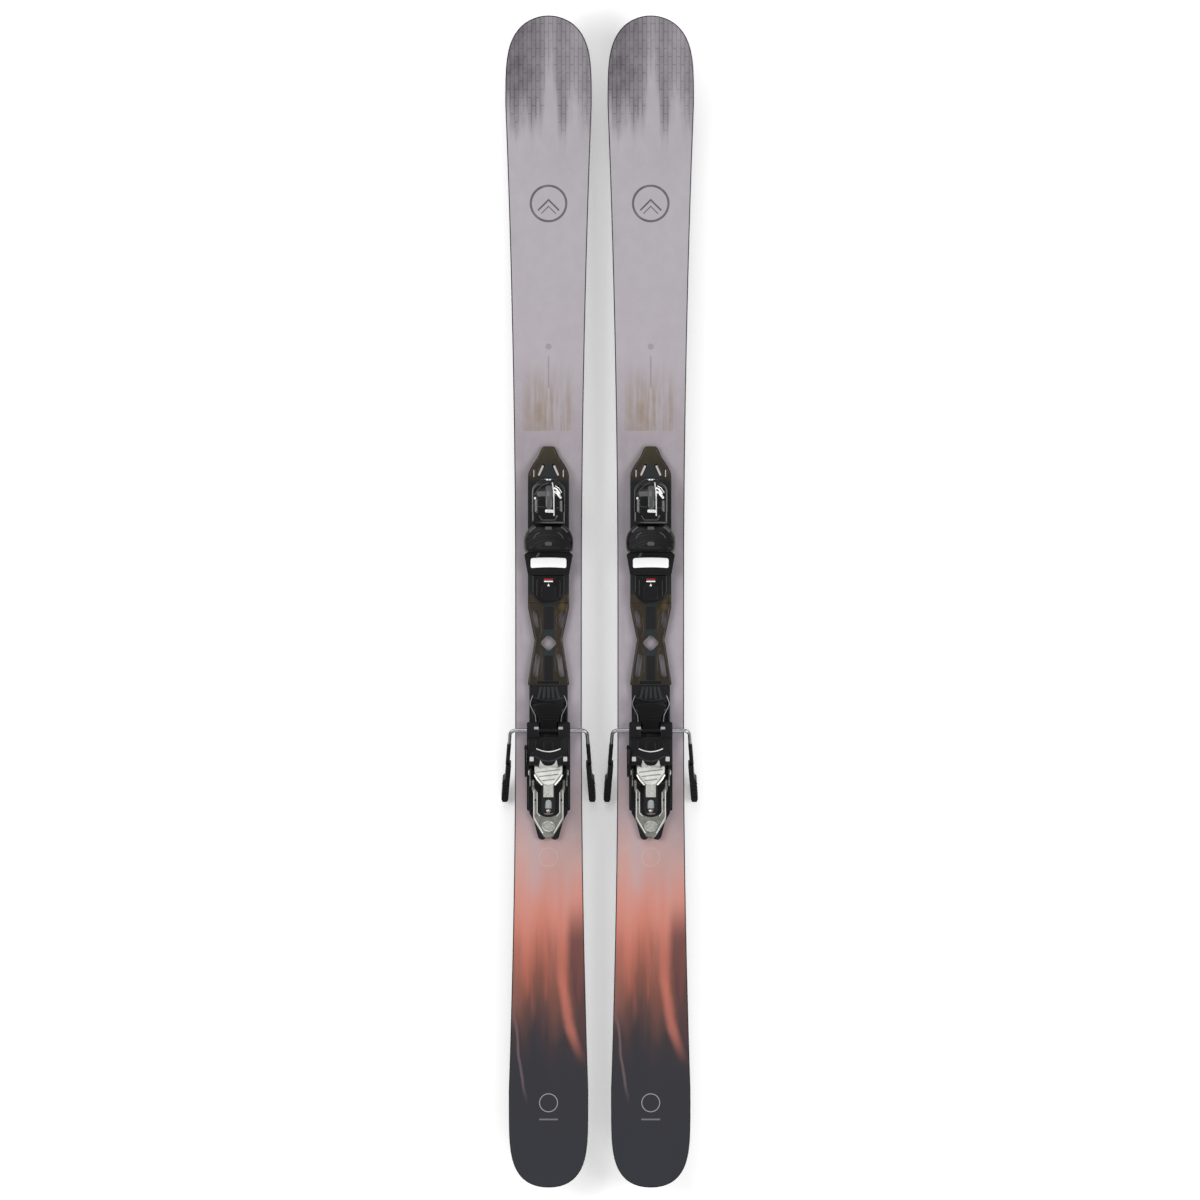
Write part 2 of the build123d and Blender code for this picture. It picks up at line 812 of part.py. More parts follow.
def make_rocker():
    pin_z = deck_z + heel_pin_height
    plate_thickness = 1.6
    barrel_half = barrel_width / 2
    spring_start = heel_screw_head_height + indicator_gap * 2 + indicator_length
    bore_length = spring_start + heel_spring_length
    boss_radius = 4.2

    with BuildPart() as heel_housing:
        with BuildSketch(Plane.XY.offset(deck_z)):
            with BuildLine():
                Polyline(
                    (-rocker_half, rocker_front_y),
                    (-rocker_half, rocker_front_y - 16),
                    (-barrel_half, neck_y - 2),
                    (-barrel_half, rocker_rear_y),
                    (barrel_half, rocker_rear_y),
                    (barrel_half, neck_y - 2),
                    (rocker_half, rocker_front_y - 16),
                    (rocker_half, rocker_front_y),
                    close=True,
                )
            make_face()
        extrude(amount=80)
        extrude(
            rocker_profile(plate_thickness), amount=rocker_half, both=True, mode=Mode.INTERSECT
        )
        with BuildSketch(Plane.YZ):
            with Locations((heel_pin_y, pin_z)):
                Circle(7.6)
        extrude(amount=rocker_half, both=True)
        with BuildSketch(Plane.YZ):
            with Locations((lever_pin_y, deck_z + lever_pin_height)):
                Circle(boss_radius)
        extrude(amount=rocker_half - 0.6, both=True)
        with BuildSketch(Plane.YZ):
            with Locations((lever_pin_y, deck_z + lever_pin_height)):
                Circle(lever_pin_diameter / 2)
        extrude(amount=lever_half, both=True)
        with BuildSketch(Plane.YZ):
            with Locations((heel_pin_y, pin_z)):
                Circle(heel_pin_diameter / 2 + running_fit)
        extrude(amount=rocker_half, both=True, mode=Mode.SUBTRACT)
        with BuildSketch(spring_plane.offset(-4)):
            Circle(heel_spring_diameter / 2 + clear)
        extrude(amount=bore_length + 4, mode=Mode.SUBTRACT)
        with BuildSketch(Plane.XY.offset(deck_z + 54)):
            with Locations((0, rocker_rear_y + 10.5)):
                SlotCenterToCenter(6.5, 10, rotation=90)
        extrude(amount=20, mode=Mode.SUBTRACT)
    pieces["heel_housing"] = heel_housing.part

    with BuildPart() as heel_plate:
        with BuildSketch(Plane.XY.offset(deck_z)):
            with BuildLine():
                Polyline(
                    (-rocker_half, rocker_front_y),
                    (-rocker_half + 1, rocker_front_y - 14),
                    (-7, neck_y),
                    (-7, neck_y - 17),
                    (7, neck_y - 17),
                    (7, neck_y),
                    (rocker_half - 1, rocker_front_y - 14),
                    (rocker_half, rocker_front_y),
                    close=True,
                )
            make_face()
        extrude(amount=80)
        extrude(rocker_profile(0), amount=rocker_half, both=True, mode=Mode.INTERSECT)
        under_plate = rocker_profile(plate_thickness)
        extrude(under_plate, amount=rocker_half, both=True, mode=Mode.SUBTRACT)
        with BuildSketch(spring_plane):
            Circle(heel_spring_diameter / 2 + clear)
        extrude(amount=bore_length, mode=Mode.SUBTRACT)
    pieces["heel_plate"] = heel_plate.part

    with BuildPart() as heel_cup:
        cup_half = 26.5
        cup_reach = 20.0
        with BuildSketch(Plane.YZ):
            with BuildLine():
                Polyline(
                    (rocker_front_y, deck_z + 17.5),
                    (rocker_front_y, deck_z + 51),
                    (rocker_front_y + 6, deck_z + 57),
                    (rocker_front_y + cup_reach, deck_z + 57),
                    (rocker_front_y + cup_reach, deck_z + 53),
                    (rocker_front_y + 6, deck_z + 51),
                    (rocker_front_y + 6, deck_z + 24),
                    (rocker_front_y + 14, deck_z + 22),
                    (rocker_front_y + 14, deck_z + 17.5),
                    close=True,
                )
            make_face()
        extrude(amount=cup_half, both=True)
        for side in (-1, 1):
            with BuildSketch(Plane.YZ.offset(side * (cup_half - 2))):
                with BuildLine():
                    Polyline(
                        (rocker_front_y, deck_z + 38),
                        (rocker_front_y, deck_z + 51),
                        (rocker_front_y + 6, deck_z + 57),
                        (rocker_front_y + 16, deck_z + 57),
                        (rocker_front_y + 11, deck_z + 40),
                        close=True,
                    )
                make_face()
            extrude(amount=2, both=True)
        with BuildSketch(Plane.XY.offset(deck_z)):
            with Locations((0, rocker_front_y + cup_reach + 24)):
                Circle(27.5)
        extrude(amount=90, mode=Mode.SUBTRACT)
        with BuildSketch(Plane.XY.offset(deck_z)):
            with BuildLine():
                ThreePointArc(
                    (-cup_half, rocker_front_y + 11),
                    (-cup_half + 3.4, rocker_front_y + 17),
                    (-cup_half + 9, rocker_front_y + cup_reach + 1),
                )
                Line(
                    (-cup_half + 9, rocker_front_y + cup_reach + 1),
                    (cup_half - 9, rocker_front_y + cup_reach + 1),
                )
                ThreePointArc(
                    (cup_half, rocker_front_y + 11),
                    (cup_half - 3.4, rocker_front_y + 17),
                    (cup_half - 9, rocker_front_y + cup_reach + 1),
                )
                Polyline(
                    (cup_half, rocker_front_y + 11),
                    (cup_half, rocker_front_y),
                    (-cup_half, rocker_front_y),
                    (-cup_half, rocker_front_y + 11),
                )
            make_face()
        extrude(amount=90, mode=Mode.INTERSECT)
    pieces["heel_cup"] = heel_cup.part

    with BuildPart() as heel_spring:
        with BuildSketch(spring_plane.offset(spring_start)):
            Circle(heel_spring_diameter / 2)
            Circle(heel_spring_bore / 2, mode=Mode.SUBTRACT)
        extrude(amount=heel_spring_length)
    pieces["heel_spring"] = heel_spring.part

    with BuildPart() as heel_indicator:
        with BuildSketch(spring_plane.offset(heel_screw_head_height + indicator_gap)):
            Circle(heel_spring_diameter / 2)
            Circle(heel_screw_shank / 2 + running_fit, mode=Mode.SUBTRACT)
        extrude(amount=indicator_length)
    pieces["heel_indicator"] = heel_indicator.part

    with BuildPart() as heel_screw:
        with BuildSketch(spring_plane):
            Circle(heel_spring_diameter / 2)
        extrude(amount=heel_screw_head_height)
        with BuildSketch(spring_plane):
            Circle(heel_screw_shank / 2)
        extrude(amount=spring_start + 16)
        with BuildSketch(spring_plane):
            Rectangle(9, 1.8)
        extrude(amount=1.6, mode=Mode.SUBTRACT)
    pieces["heel_screw"] = heel_screw.part

    with BuildPart() as heel_lever:
        hub_radius = lever_thickness / 2 + 2.2
        opening_half = rocker_half + clear - 0.6
        with BuildSketch(lever_plane):
            with BuildLine():
                end_half = 7.0
                shoulder = lever_length - 31
                ThreePointArc(
                    (end_half, lever_length - 4), (0, lever_length), (-end_half, lever_length - 4)
                )
                Polyline(
                    (end_half, lever_length - 4),
                    (prong_half, shoulder),
                    (prong_half, 18),
                    (lever_half, 10),
                    (lever_half, 0),
                    (-lever_half, 0),
                    (-lever_half, 10),
                    (-prong_half, 18),
                    (-prong_half, shoulder),
                    (-end_half, lever_length - 4),
                )
            make_face()
            with BuildLine():
                inner_half = prong_half - 6.4
                ThreePointArc(
                    (inner_half, shoulder - 10), (0, shoulder - 2), (-inner_half, shoulder - 10)
                )
                Polyline(
                    (inner_half, shoulder - 10),
                    (inner_half, 17),
                    (opening_half, 10),
                    (opening_half, -6),
                    (-opening_half, -6),
                    (-opening_half, 10),
                    (-inner_half, 17),
                    (-inner_half, shoulder - 10),
                )
            make_face(mode=Mode.SUBTRACT)
        extrude(amount=lever_thickness / 2, both=True)
        with BuildSketch(lever_plane.offset(lever_thickness / 2)):
            with Locations((0, lever_length - 17)):
                Circle(6.5)
        extrude(amount=-2.4, mode=Mode.SUBTRACT)
        for side in (-1, 1):
            with BuildSketch(Plane.YZ.offset(side * (opening_half + lever_half) / 2)):
                with Locations((lever_pin_y, deck_z + lever_pin_height)):
                    Circle(hub_radius)
            extrude(amount=(lever_half - opening_half) / 2, both=True)
        with BuildSketch(Plane.YZ):
            with Locations((lever_pin_y, deck_z + lever_pin_height)):
                Circle(lever_pin_diameter / 2 + running_fit)
        extrude(amount=lever_half, both=True, mode=Mode.SUBTRACT)
    pieces["heel_lever"] = heel_lever.part


# ---------------------------------------------------------------- the brake


def brake_path():
    """The wire's centre line: two arms joined by the cross bar, with round bends."""
    return FilletPolyline(
        (-brake_foot_half_span, 2 - brake_arm_length),
        (-brake_cross_half, 0),
        (brake_cross_half, 0),
        (brake_foot_half_span, 2 - brake_arm_length),
        radius=brake_bend_radius,
    )


def make_brake():
    with BuildPart() as brake_arms:
        with BuildLine(brake_plane) as wire_line:
            brake_path()
        start = wire_line.wires()[0]
        with BuildSketch(Plane(origin=start @ 0, z_dir=start % 0)):
            Circle(brake_wire / 2)
        sweep(path=start)
    pieces["brake_arms"] = brake_arms.part

    lean = (brake_foot_half_span - brake_cross_half) / brake_arm_length
    with BuildPart() as brake_feet:
        for side in (-1, 1):
            with BuildSketch(brake_plane):
                with BuildLine():
                    end = -brake_arm_length
                    outer = brake_foot_half_span + foot_width / 2
                    inner = brake_foot_half_span - foot_width / 2
                    neck_out = outer - 2.4
                    Polyline(
                        (side * (inner + 1.5), end),
                        (side * (outer - 1.5), end),
                        (side * outer, end + 4),
                        (side * (outer - lean * 30), end + 36),
                        (side * (neck_out - lean * 40), end + 40),
                        (side * (neck_out - lean * foot_length), end + foot_length),
                        (side * (inner - lean * foot_length), end + foot_length),
                        (side * inner, end + 4),
                        close=True,
                    )
                make_face()
            extrude(amount=foot_height / 2, both=True)
        add(brake_arms.part, mode=Mode.SUBTRACT)
    pieces["brake_feet"] = brake_feet.part

    with BuildPart() as brake_pedal:
        hub_half = 13.0
        hub_radius = 4.4
        with BuildSketch(brake_plane):
            with BuildLine():
                Polyline(
                    (-pedal_rear_width / 2, 0),
                    (-pedal_rear_width / 2, 14),
                    (-pedal_front_width / 2, pedal_length - 6),
                )
                ThreePointArc(
                    (-pedal_front_width / 2, pedal_length - 6),
                    (0, pedal_length),
                    (pedal_front_width / 2, pedal_length - 6),
                )
                Polyline(
                    (pedal_front_width / 2, pedal_length - 6),
                    (pedal_rear_width / 2, 14),
                    (pedal_rear_width / 2, 0),
                    (-pedal_rear_width / 2, 0),
                )
            make_face()
        extrude(amount=pedal_thickness / 2, both=True)
        with BuildSketch(Plane.YZ):
            with Locations((brake_axis_y, brake_axis_z)):
                Circle(hub_radius)
        extrude(amount=hub_half, both=True)
        with BuildSketch(Plane.YZ):
            with Locations((brake_axis_y, brake_axis_z)):
                Circle(brake_wire / 2)
        extrude(amount=hub_half, both=True, mode=Mode.SUBTRACT)
    pieces["brake_pedal"] = brake_pedal.part


make_ski()
make_plates()
make_toe()
make_carriage()
make_rocker()
make_brake()

os.makedirs("parts", exist_ok=True)
for side, centre_x in (("left", -ski_spacing / 2), ("right", ski_spacing / 2)):
    for name, piece in pieces.items():
        placed = piece.moved(Location((centre_x, 0, 0)))
        placed.label = f"{side}_{name}"
        export_step(placed, f"parts/{side}_{name}.step")
print("deck_z", round(deck_z, 3), "pieces", len(pieces))
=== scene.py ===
import json

import bmesh
import bpy
import numpy as np
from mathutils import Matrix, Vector

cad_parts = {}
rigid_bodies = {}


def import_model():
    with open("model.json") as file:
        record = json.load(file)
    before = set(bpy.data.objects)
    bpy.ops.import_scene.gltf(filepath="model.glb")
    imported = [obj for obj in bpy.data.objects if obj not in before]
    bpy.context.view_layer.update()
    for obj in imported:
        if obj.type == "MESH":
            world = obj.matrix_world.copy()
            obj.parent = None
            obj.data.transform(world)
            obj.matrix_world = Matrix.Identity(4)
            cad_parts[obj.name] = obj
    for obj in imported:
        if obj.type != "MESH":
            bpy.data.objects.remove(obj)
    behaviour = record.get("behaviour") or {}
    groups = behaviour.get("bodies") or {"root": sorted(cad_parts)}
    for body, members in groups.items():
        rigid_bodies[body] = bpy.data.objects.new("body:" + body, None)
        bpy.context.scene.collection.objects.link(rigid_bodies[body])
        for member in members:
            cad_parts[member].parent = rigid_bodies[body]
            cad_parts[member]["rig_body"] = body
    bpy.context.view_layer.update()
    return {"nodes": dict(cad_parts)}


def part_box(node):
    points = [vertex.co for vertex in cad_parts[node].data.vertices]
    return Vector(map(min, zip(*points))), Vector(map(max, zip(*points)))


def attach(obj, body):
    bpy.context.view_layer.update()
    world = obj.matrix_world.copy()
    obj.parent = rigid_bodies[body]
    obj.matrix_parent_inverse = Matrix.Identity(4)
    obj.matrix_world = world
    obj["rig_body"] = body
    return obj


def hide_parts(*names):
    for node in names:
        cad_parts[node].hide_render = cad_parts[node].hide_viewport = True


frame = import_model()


# ======================================== running base
# The sole of each ski is one sheet of black sintered plastic, ground on a stone
# wheel into fine lines along the ski and then waxed. It is bonded under the core
# between the steel edges.

nodes = frame["nodes"]
MM = 0.001
SIDES = ("left", "right")


class Wire:
    """A socket of a material's node tree. Arithmetic and comparisons on it add Math nodes."""

    def __init__(self, tree, socket):
        self.tree = tree
        self.socket = socket

    def node(self, kind, settings=None, sockets=None, out=0):
        """Any node: its type, its settings, then the values or links of its sockets."""
        made = self.tree.nodes.new(kind)
        for key, value in (settings or {}).items():
            if key == "stops":
                ramp = made.color_ramp
                while len(ramp.elements) < len(value):
                    ramp.elements.new(0.5)
                for element, (position, colour) in zip(ramp.elements, value):
                    element.position = position
                    element.color = (*colour, 1.0)
            else:
                setattr(made, key, value)
        for key, value in (sockets or {}).items():
            if isinstance(value, Wire):
                self.tree.links.new(value.socket, made.inputs[key])
            else:
                made.inputs[key].default_value = value
        return Wire(self.tree, made.outputs[out])

    def math(self, operation, *values):
        """A Math node on this value and others."""
        sockets = {i: v for i, v in enumerate((self, *values))}
        return self.node("ShaderNodeMath", {"operation": operation}, sockets)

    def __add__(self, other):
        return self.math("ADD", other)

    def __mul__(self, other):
        return self.math("MULTIPLY", other)

    def __sub__(self, other):
        return self.math("SUBTRACT", other)

    def __rsub__(self, other):
        return self.math("MULTIPLY", -1.0) + other

    def __gt__(self, other):
        return self.math("GREATER_THAN", other)

    def __lt__(self, other):
        return self.math("LESS_THAN", other)

    __radd__ = __add__
    __rmul__ = __mul__

    def size(self):
        """The value without its sign."""
        return self.math("ABSOLUTE")

    def rise(self, low, high):
        """0 below low, 1 above high and smooth between; low may be the larger, and it falls."""
        settings = {"interpolation_type": "SMOOTHSTEP"}
        if low > high:
            ends = {"Value": self, "From Min": high, "From Max": low, "To Min": 1.0, "To Max": 0.0}
        else:
            ends = {"Value": self, "From Min": low, "From Max": high}
        return self.node("ShaderNodeMapRange", settings, ends)

    def spread(self, low, high):
        """0 at low, 1 at high and even between."""
        ends = {"Value": self, "From Min": low, "From Max": high}
        return self.node("ShaderNodeMapRange", None, ends)

    def ramp(self, stops):
        """A colour from a list of positions and colours, even between them."""
        return self.node("ShaderNodeValToRGB", {"stops": stops}, {0: self})

    def mapped(self, **settings):
        """This vector moved, turned or stretched."""
        return self.node("ShaderNodeMapping", None, {"Vector": self, **settings})

    def noise(self, scale, detail=3.0, stretch=(1, 1, 1), roughness=0.5):
        """Fractal noise about 0.5 on this vector, stretched by a scale for each axis."""
        stretched = self.mapped(Scale=stretch)
        inputs = {"Vector": stretched, "Scale": scale, "Detail": detail, "Roughness": roughness}
        return self.node("ShaderNodeTexNoise", None, inputs)

    def blend(self, first, second):
        """Colour first where this mask is 0 and second where it is 1: Wires or hex digits."""
        first, second = (c if isinstance(c, Wire) else (*srgb(c), 1.0) for c in (first, second))
        return self.node("ShaderNodeMix", {"data_type": "RGBA"}, {0: self, 6: first, 7: second}, 2)

    def bump(self, strength, distance):
        """A normal that leans with this height."""
        sockets = {"Height": self, "Strength": strength, "Distance": distance}
        return self.node("ShaderNodeBump", None, sockets)


def srgb(code):
    """A colour from six hex digits, in linear light."""
    values = [int(code[i : i + 2], 16) / 255 for i in (0, 2, 4)]
    return tuple(v / 12.92 if v < 0.04045 else ((v + 0.055) / 1.055) ** 2.4 for v in values)


def start_finish(name, **constants):
    """A new material: (material, its Object coordinates, its shader), constants set on sockets."""
    material = bpy.data.materials.new(name)
    material.use_nodes = True
    tree = material.node_tree
    shader = tree.nodes["Principled BSDF"]
    for key, value in constants.items():
        shader.inputs[key.replace("_", " ")].default_value = value
    place = Wire(tree, tree.nodes.new("ShaderNodeTexCoord").outputs["Object"])
    return material, place, shader


def connect(shader, **wires):
    """Links what varies over a surface to the shader's sockets, by their names."""
    for key, wire in wires.items():
        wire.tree.links.new(wire.socket, shader.inputs[key.replace("_", " ")])


def new_object(name, data):
    """An object in the scene, at the origin, for a mesh, a lamp or a lens."""
    made = bpy.data.objects.new(name, data)
    bpy.context.scene.collection.objects.link(made)
    return made


def surface(mesh, material, side, crease):
    """Gives a mesh its material, which may differ by side, and shades it smooth up to a crease
    in degrees."""
    mesh.materials.clear()
    mesh.materials.append(material[side] if isinstance(material, dict) else material)
    mesh.polygons.foreach_set("use_smooth", [True] * len(mesh.polygons))
    mesh.set_sharp_from_angle(angle=np.radians(crease))


def fit(piece, body, node=None):
    """Rides a piece on its body and hides the CAD node that it stands for."""
    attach(piece, body)
    if node:
        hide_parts(node)


def refined(part, material, bevel=0.0, flat_angle=0.6, crease=28):
    """A merged copy of a part's CAD node on each ski, standing for that node on its body. Faces
    that lie within the flat angle are made one, and edges past the crease are rounded."""
    for side in SIDES:
        node = f"{side}_{part}"
        source = nodes[node]
        mesh = source.data.copy()
        shape = bmesh.new()
        shape.from_mesh(mesh)
        bmesh.ops.remove_doubles(shape, verts=shape.verts, dist=0.02 * MM)
        if flat_angle:
            limit = np.radians(flat_angle)
            bmesh.ops.dissolve_limit(shape, angle_limit=limit, verts=shape.verts, edges=shape.edges)
        shape.to_mesh(mesh)
        shape.free()
        surface(mesh, material, side, crease)
        piece = new_object(node + "_finished", mesh)
        if bevel:
            rounding = piece.modifiers.new("rounding", "BEVEL")
            rounding.width = bevel * MM
            rounding.segments = 3
            rounding.limit_method = "ANGLE"
            rounding.angle_limit = np.radians(crease)
            rounding.use_clamp_overlap = False
            rounding.harden_normals = True
        fit(piece, source["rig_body"], node)


base_finish, place, shader = start_finish("waxed_base", Coat_Weight=0.15, Coat_Roughness=0.3)
grind = place.noise(60, 2, (22, 0.35, 1))
wax = place.noise(9, 3, (1, 0.5, 1))
connect(
    shader,
    Base_Color=wax.blend("141416", "1D1D20"),
    Roughness=0.28 + 0.2 * grind,
    Normal=grind.bump(0.5, 0.0002),
)
refined("base", base_finish, flat_angle=0)


# ======================================== steel edges
# A bead of hardened steel runs round the whole sole, flush with the base, ground
# square and bright where the ski is tuned.


def metal(name, dark, light, roughness, lines=(1, 1, 1), scale=80.0, bare=1.0):
    """Bare, plated or silver-painted metal: fine noise drawn out along its grinding lines."""
    material, place, shader = start_finish(name, Metallic=bare)
    grain = place.noise(scale, 4, lines, 0.65)
    smudge = place.noise(35, 3)
    connect(
        shader,
        Base_Color=grain.blend(dark, light),
        Roughness=roughness + 0.16 * grain + 0.12 * smudge,
        Normal=grain.bump(0.25, 0.00015),
    )
    return material


edge_steel = metal("edge_steel", "7E8083", "B9BBBE", 0.16, (6, 0.3, 6), 90.0)
refined("edges", edge_steel, flat_angle=0)


# ======================================== wood core
# The core is a plank of upright wood strips glued side by side. It is closed in by
# the other layers, and shows only when the ski is taken apart.

core_finish, place, shader = start_finish("core_wood", Specular_IOR_Level=0.3)
across = place.node("ShaderNodeSeparateXYZ", None, {0: place})
strips_per_metre = 90.0
strip = (across * strips_per_metre).math("FRACT")
fibre = place.noise(40, 5, (30, 1, 30), 0.6)
joint = (strip - 0.5).size().rise(0.46, 0.49)
strip_colour = fibre.blend("C9A06A", "E2C493")
connect(
    shader,
    Base_Color=joint.blend(strip_colour, "8A6238"),
    Roughness=0.55 + 0.2 * fibre,
    Normal=fibre.bump(0.3, 0.0002),
)
refined("core", core_finish, flat_angle=0)


# ======================================== sidewalls
# Black plastic sidewalls stand on the steel edges and take the knocks. They are
# milled along the ski, and a narrow ledge of them shows round the printed sheet.


def moulded(name, dark, light, roughness, grain=900.0, depth=0.00008, coat=0.0, shine=0.2):
    """Moulded plastic: faint clouds in its colour, a fine leathery grain, worn patches."""
    material, place, shader = start_finish(
        name, Coat_Weight=coat, Coat_Roughness=0.12, Specular_IOR_Level=shine
    )
    cloud = place.noise(26, 4)
    pores = place.noise(grain, 2)
    wear = place.noise(70, 5, roughness=0.7)
    connect(
        shader,
        Base_Color=cloud.blend(dark, light),
        Roughness=roughness - 0.06 + 0.12 * wear,
        Normal=pores.bump(0.35, depth),
    )
    return material


sidewall_finish, place, shader = start_finish("milled_sidewall")
milling = place.noise(120, 2, (1, 0.1, 7))
scuff = place.noise(18, 5, (1, 0.3, 1), 0.7)
connect(
    shader,
    Base_Color=scuff.blend("151517", "242427"),
    Roughness=0.38 + 0.2 * milling,
    Normal=milling.bump(0.3, 0.00012),
)
refined("sidewalls", sidewall_finish, flat_angle=0)


# ======================================== topsheet
# A printed film seals the top of the ski: lilac grey washed with upright strokes,
# a dark brick-and-brushwork tip, and a tail that sinks from coral to slate. Plain
# rings and bars stand where a maker would put its marks.


def own_axes(place, centre_x):
    """One ski's own coordinates, then the places across and along it."""
    own = place.mapped(Location=(-centre_x, 0, 0))
    return own, *(own.node("ShaderNodeSeparateXYZ", None, {0: own}, i) for i in range(2))


def printed_film(side, centre_x):
    """The topsheet print of one ski. Each mark or tone is a mask of where it lies across and
    along the ski, and it is laid over the ground below it."""
    material, place, shader = start_finish(
        f"{side}_printed_film", Coat_Weight=0.06, Coat_Roughness=0.3, Specular_IOR_Level=0.18
    )
    own, across, along = own_axes(place, centre_x)
    mottle = own.noise(55, 5, (1, 0.7, 1), 0.6)
    cloud = own.noise(13, 4, (1, 0.6, 1), 0.55)
    strokes = own.noise(17, 3, (4.2, 0.3, 1), 0.5)
    broad_strokes = own.noise(10, 2, (4.4, 0.35, 1), 0.45)
    fine_strokes = own.noise(40, 3, (3.0, 0.16, 1), 0.55)

    # the colour along the ski, pulled up and down by the brush strokes
    pulled = along + (strokes - 0.5) * 0.06 + (broad_strokes - 0.5) * 0.09
    half_length = 0.81
    tones = [
        (-half_length, "2A2B31"),
        (-0.650, "2C2C32"),
        (-0.605, "372F33"),
        (-0.570, "553C39"),
        (-0.530, "7D4C40"),
        (-0.480, "AC6758"),
        (-0.445, "BC7768"),
        (-0.405, "BF8378"),
        (-0.350, "B7928C"),
        (-0.290, "AB9799"),
        (-0.190, "9B949B"),
        (0.120, "979197"),
        (0.240, "978F94"),
        (0.330, "A29CA2"),
        (0.560, "A29DA3"),
        (half_length, "9D979E"),
    ]
    stops = [((y / half_length + 1) / 2, srgb(code)) for y, code in tones]
    ground = pulled.spread(-half_length, half_length).ramp(stops)

    # warm tan strokes that stop dead in front of the binding
    tan_end = 0.2365
    tan_zone = along.rise(0.345, 0.262) * (along > tan_end)
    tan_core = across.size().rise(0.046, 0.018)
    tan = tan_zone * tan_core * fine_strokes.rise(0.36, 0.62)
    ground = (0.7 * tan).blend(ground, "82705C")
    grey_edge = along.rise(0.25, 0.18) * along.rise(-0.2, -0.05) * strokes.rise(0.42, 0.66)
    ground = (0.35 * grey_edge).blend(ground, "857E82")

    # a cool streak down the salmon, left of the middle
    cool_line = (across + 0.016 + (strokes - 0.5) * 0.03).size().rise(0.022, 0.0)
    cool = cool_line * along.rise(-0.43, -0.37) * along.rise(-0.27, -0.33)
    ground = (0.3 * cool).blend(ground, "A79CA2")

    # dark and bright upright strokes through the rust, under a soft shoulder
    shoulder = along + (broad_strokes - 0.5) * 0.06
    rust_zone = shoulder.rise(-0.420, -0.500) * along.rise(-0.64, -0.55)
    dark_rust = rust_zone * strokes.rise(0.42, 0.72)
    ground = (0.55 * dark_rust).blend(ground, "5E3F39")
    bright_rust = rust_zone * strokes.rise(0.50, 0.28) * along.rise(-0.60, -0.53)
    ground = (0.5 * bright_rust).blend(ground, "BE6A59")
    left_rim = across.rise(-0.030, -0.050) * along.rise(-0.45, -0.50) * along.rise(-0.60, -0.55)
    ground = (0.4 * left_rim).blend(ground, "96655B")

    # smoke at the right-hand rim, with a bright coral band along its edge. The edge runs straight
    # back, then bends out to the rim by the square of the fall past the bend
    edge_x, bend_y, bend = 0.0265, -0.492, 1.4
    fall = (bend_y - along).math("MAXIMUM", 0.0)
    edge_line = across - edge_x - fall * fall * bend + (cloud - 0.5) * 0.014
    smoke = edge_line.rise(-0.004, 0.009) * along.rise(-0.405, -0.475) * along.rise(-0.64, -0.60)
    ground = (0.8 * smoke).blend(ground, strokes.blend("54383A", "3B2E31"))
    band = (edge_line + 0.0085).size().rise(0.0105, 0.001)
    band = band * along.rise(-0.475, -0.535) * along.rise(-0.645, -0.585)
    ground = (0.7 * band).blend(ground, "B4695B")
    wisp_line = (across + 0.044 + (along + 0.60) * 0.12 + (cloud - 0.5) * 0.02).size()
    wisp = wisp_line.rise(0.0030, 0.0006) * along.rise(-0.555, -0.60) * along.rise(-0.70, -0.655)
    ground = (0.45 * wisp).blend(ground, "7C666A")

    # dark brushwork over upright bricks at the tip: how far down each stroke runs, and how
    # dark it is, from rim to rim in millimetres
    rim = 64
    rim_to_rim = across.spread(-rim * MM, rim * MM)
    runs = [(-64, 0.50), (-52, 0.72), (-44, 0.80), (-36, 0.62), (-28, 0.66), (-18, 0.86)]
    runs += [(-10, 0.74), (-3, 0.36), (5, 0.22), (11, 0.62), (16, 1.0), (23, 0.96), (30, 0.60)]
    runs += [(38, 0.52), (45, 0.80), (54, 0.92), (64, 0.76)]
    darks = [(-64, 1.0), (-40, 1.0), (-22, 0.86), (-10, 0.66), (-2, 0.36), (6, 0.38), (16, 0.66)]
    darks += [(26, 0.52), (36, 0.36), (46, 0.52), (54, 0.66), (64, 0.62)]
    painted = [
        rim_to_rim.ramp([((x / rim + 1) / 2, (level, level, level)) for x, level in profile])
        for profile in (runs, darks)
    ]
    lower_end = 0.768 - painted[0] * 0.140 + (fine_strokes - 0.5) * 0.12 + (cloud - 0.5) * 0.04
    brushed = (along - lower_end).rise(-0.035, 0.065) * painted[1]
    brushed = brushed * (0.72 + 0.56 * fine_strokes)
    turned = own.mapped(Rotation=(0, 0, np.radians(90)))
    bricks = turned.node(
        "ShaderNodeTexBrick",
        {"offset": 0.5},
        {
            "Vector": turned,
            "Scale": 1.0,
            "Mortar Size": 0.0008,
            "Mortar Smooth": 0.5,
            "Brick Width": 0.0225,
            "Row Height": 0.0059,
        },
        1,
    )
    ground = (0.86 * brushed).blend(ground, "4E494E")
    bricks_seen = (along - lower_end).rise(-0.01, 0.035) * (0.3 + 0.7 * painted[1])
    ground = (bricks * bricks_seen * 0.62).blend(ground, "363237")

    # plain marks: a ring with two peaks, a dot over a bar, two rings and a bar on the tail
    def away_from(y):
        """Distance from a place on the middle line."""
        return (across * across + (along - y) * (along - y)).math("SQRT")

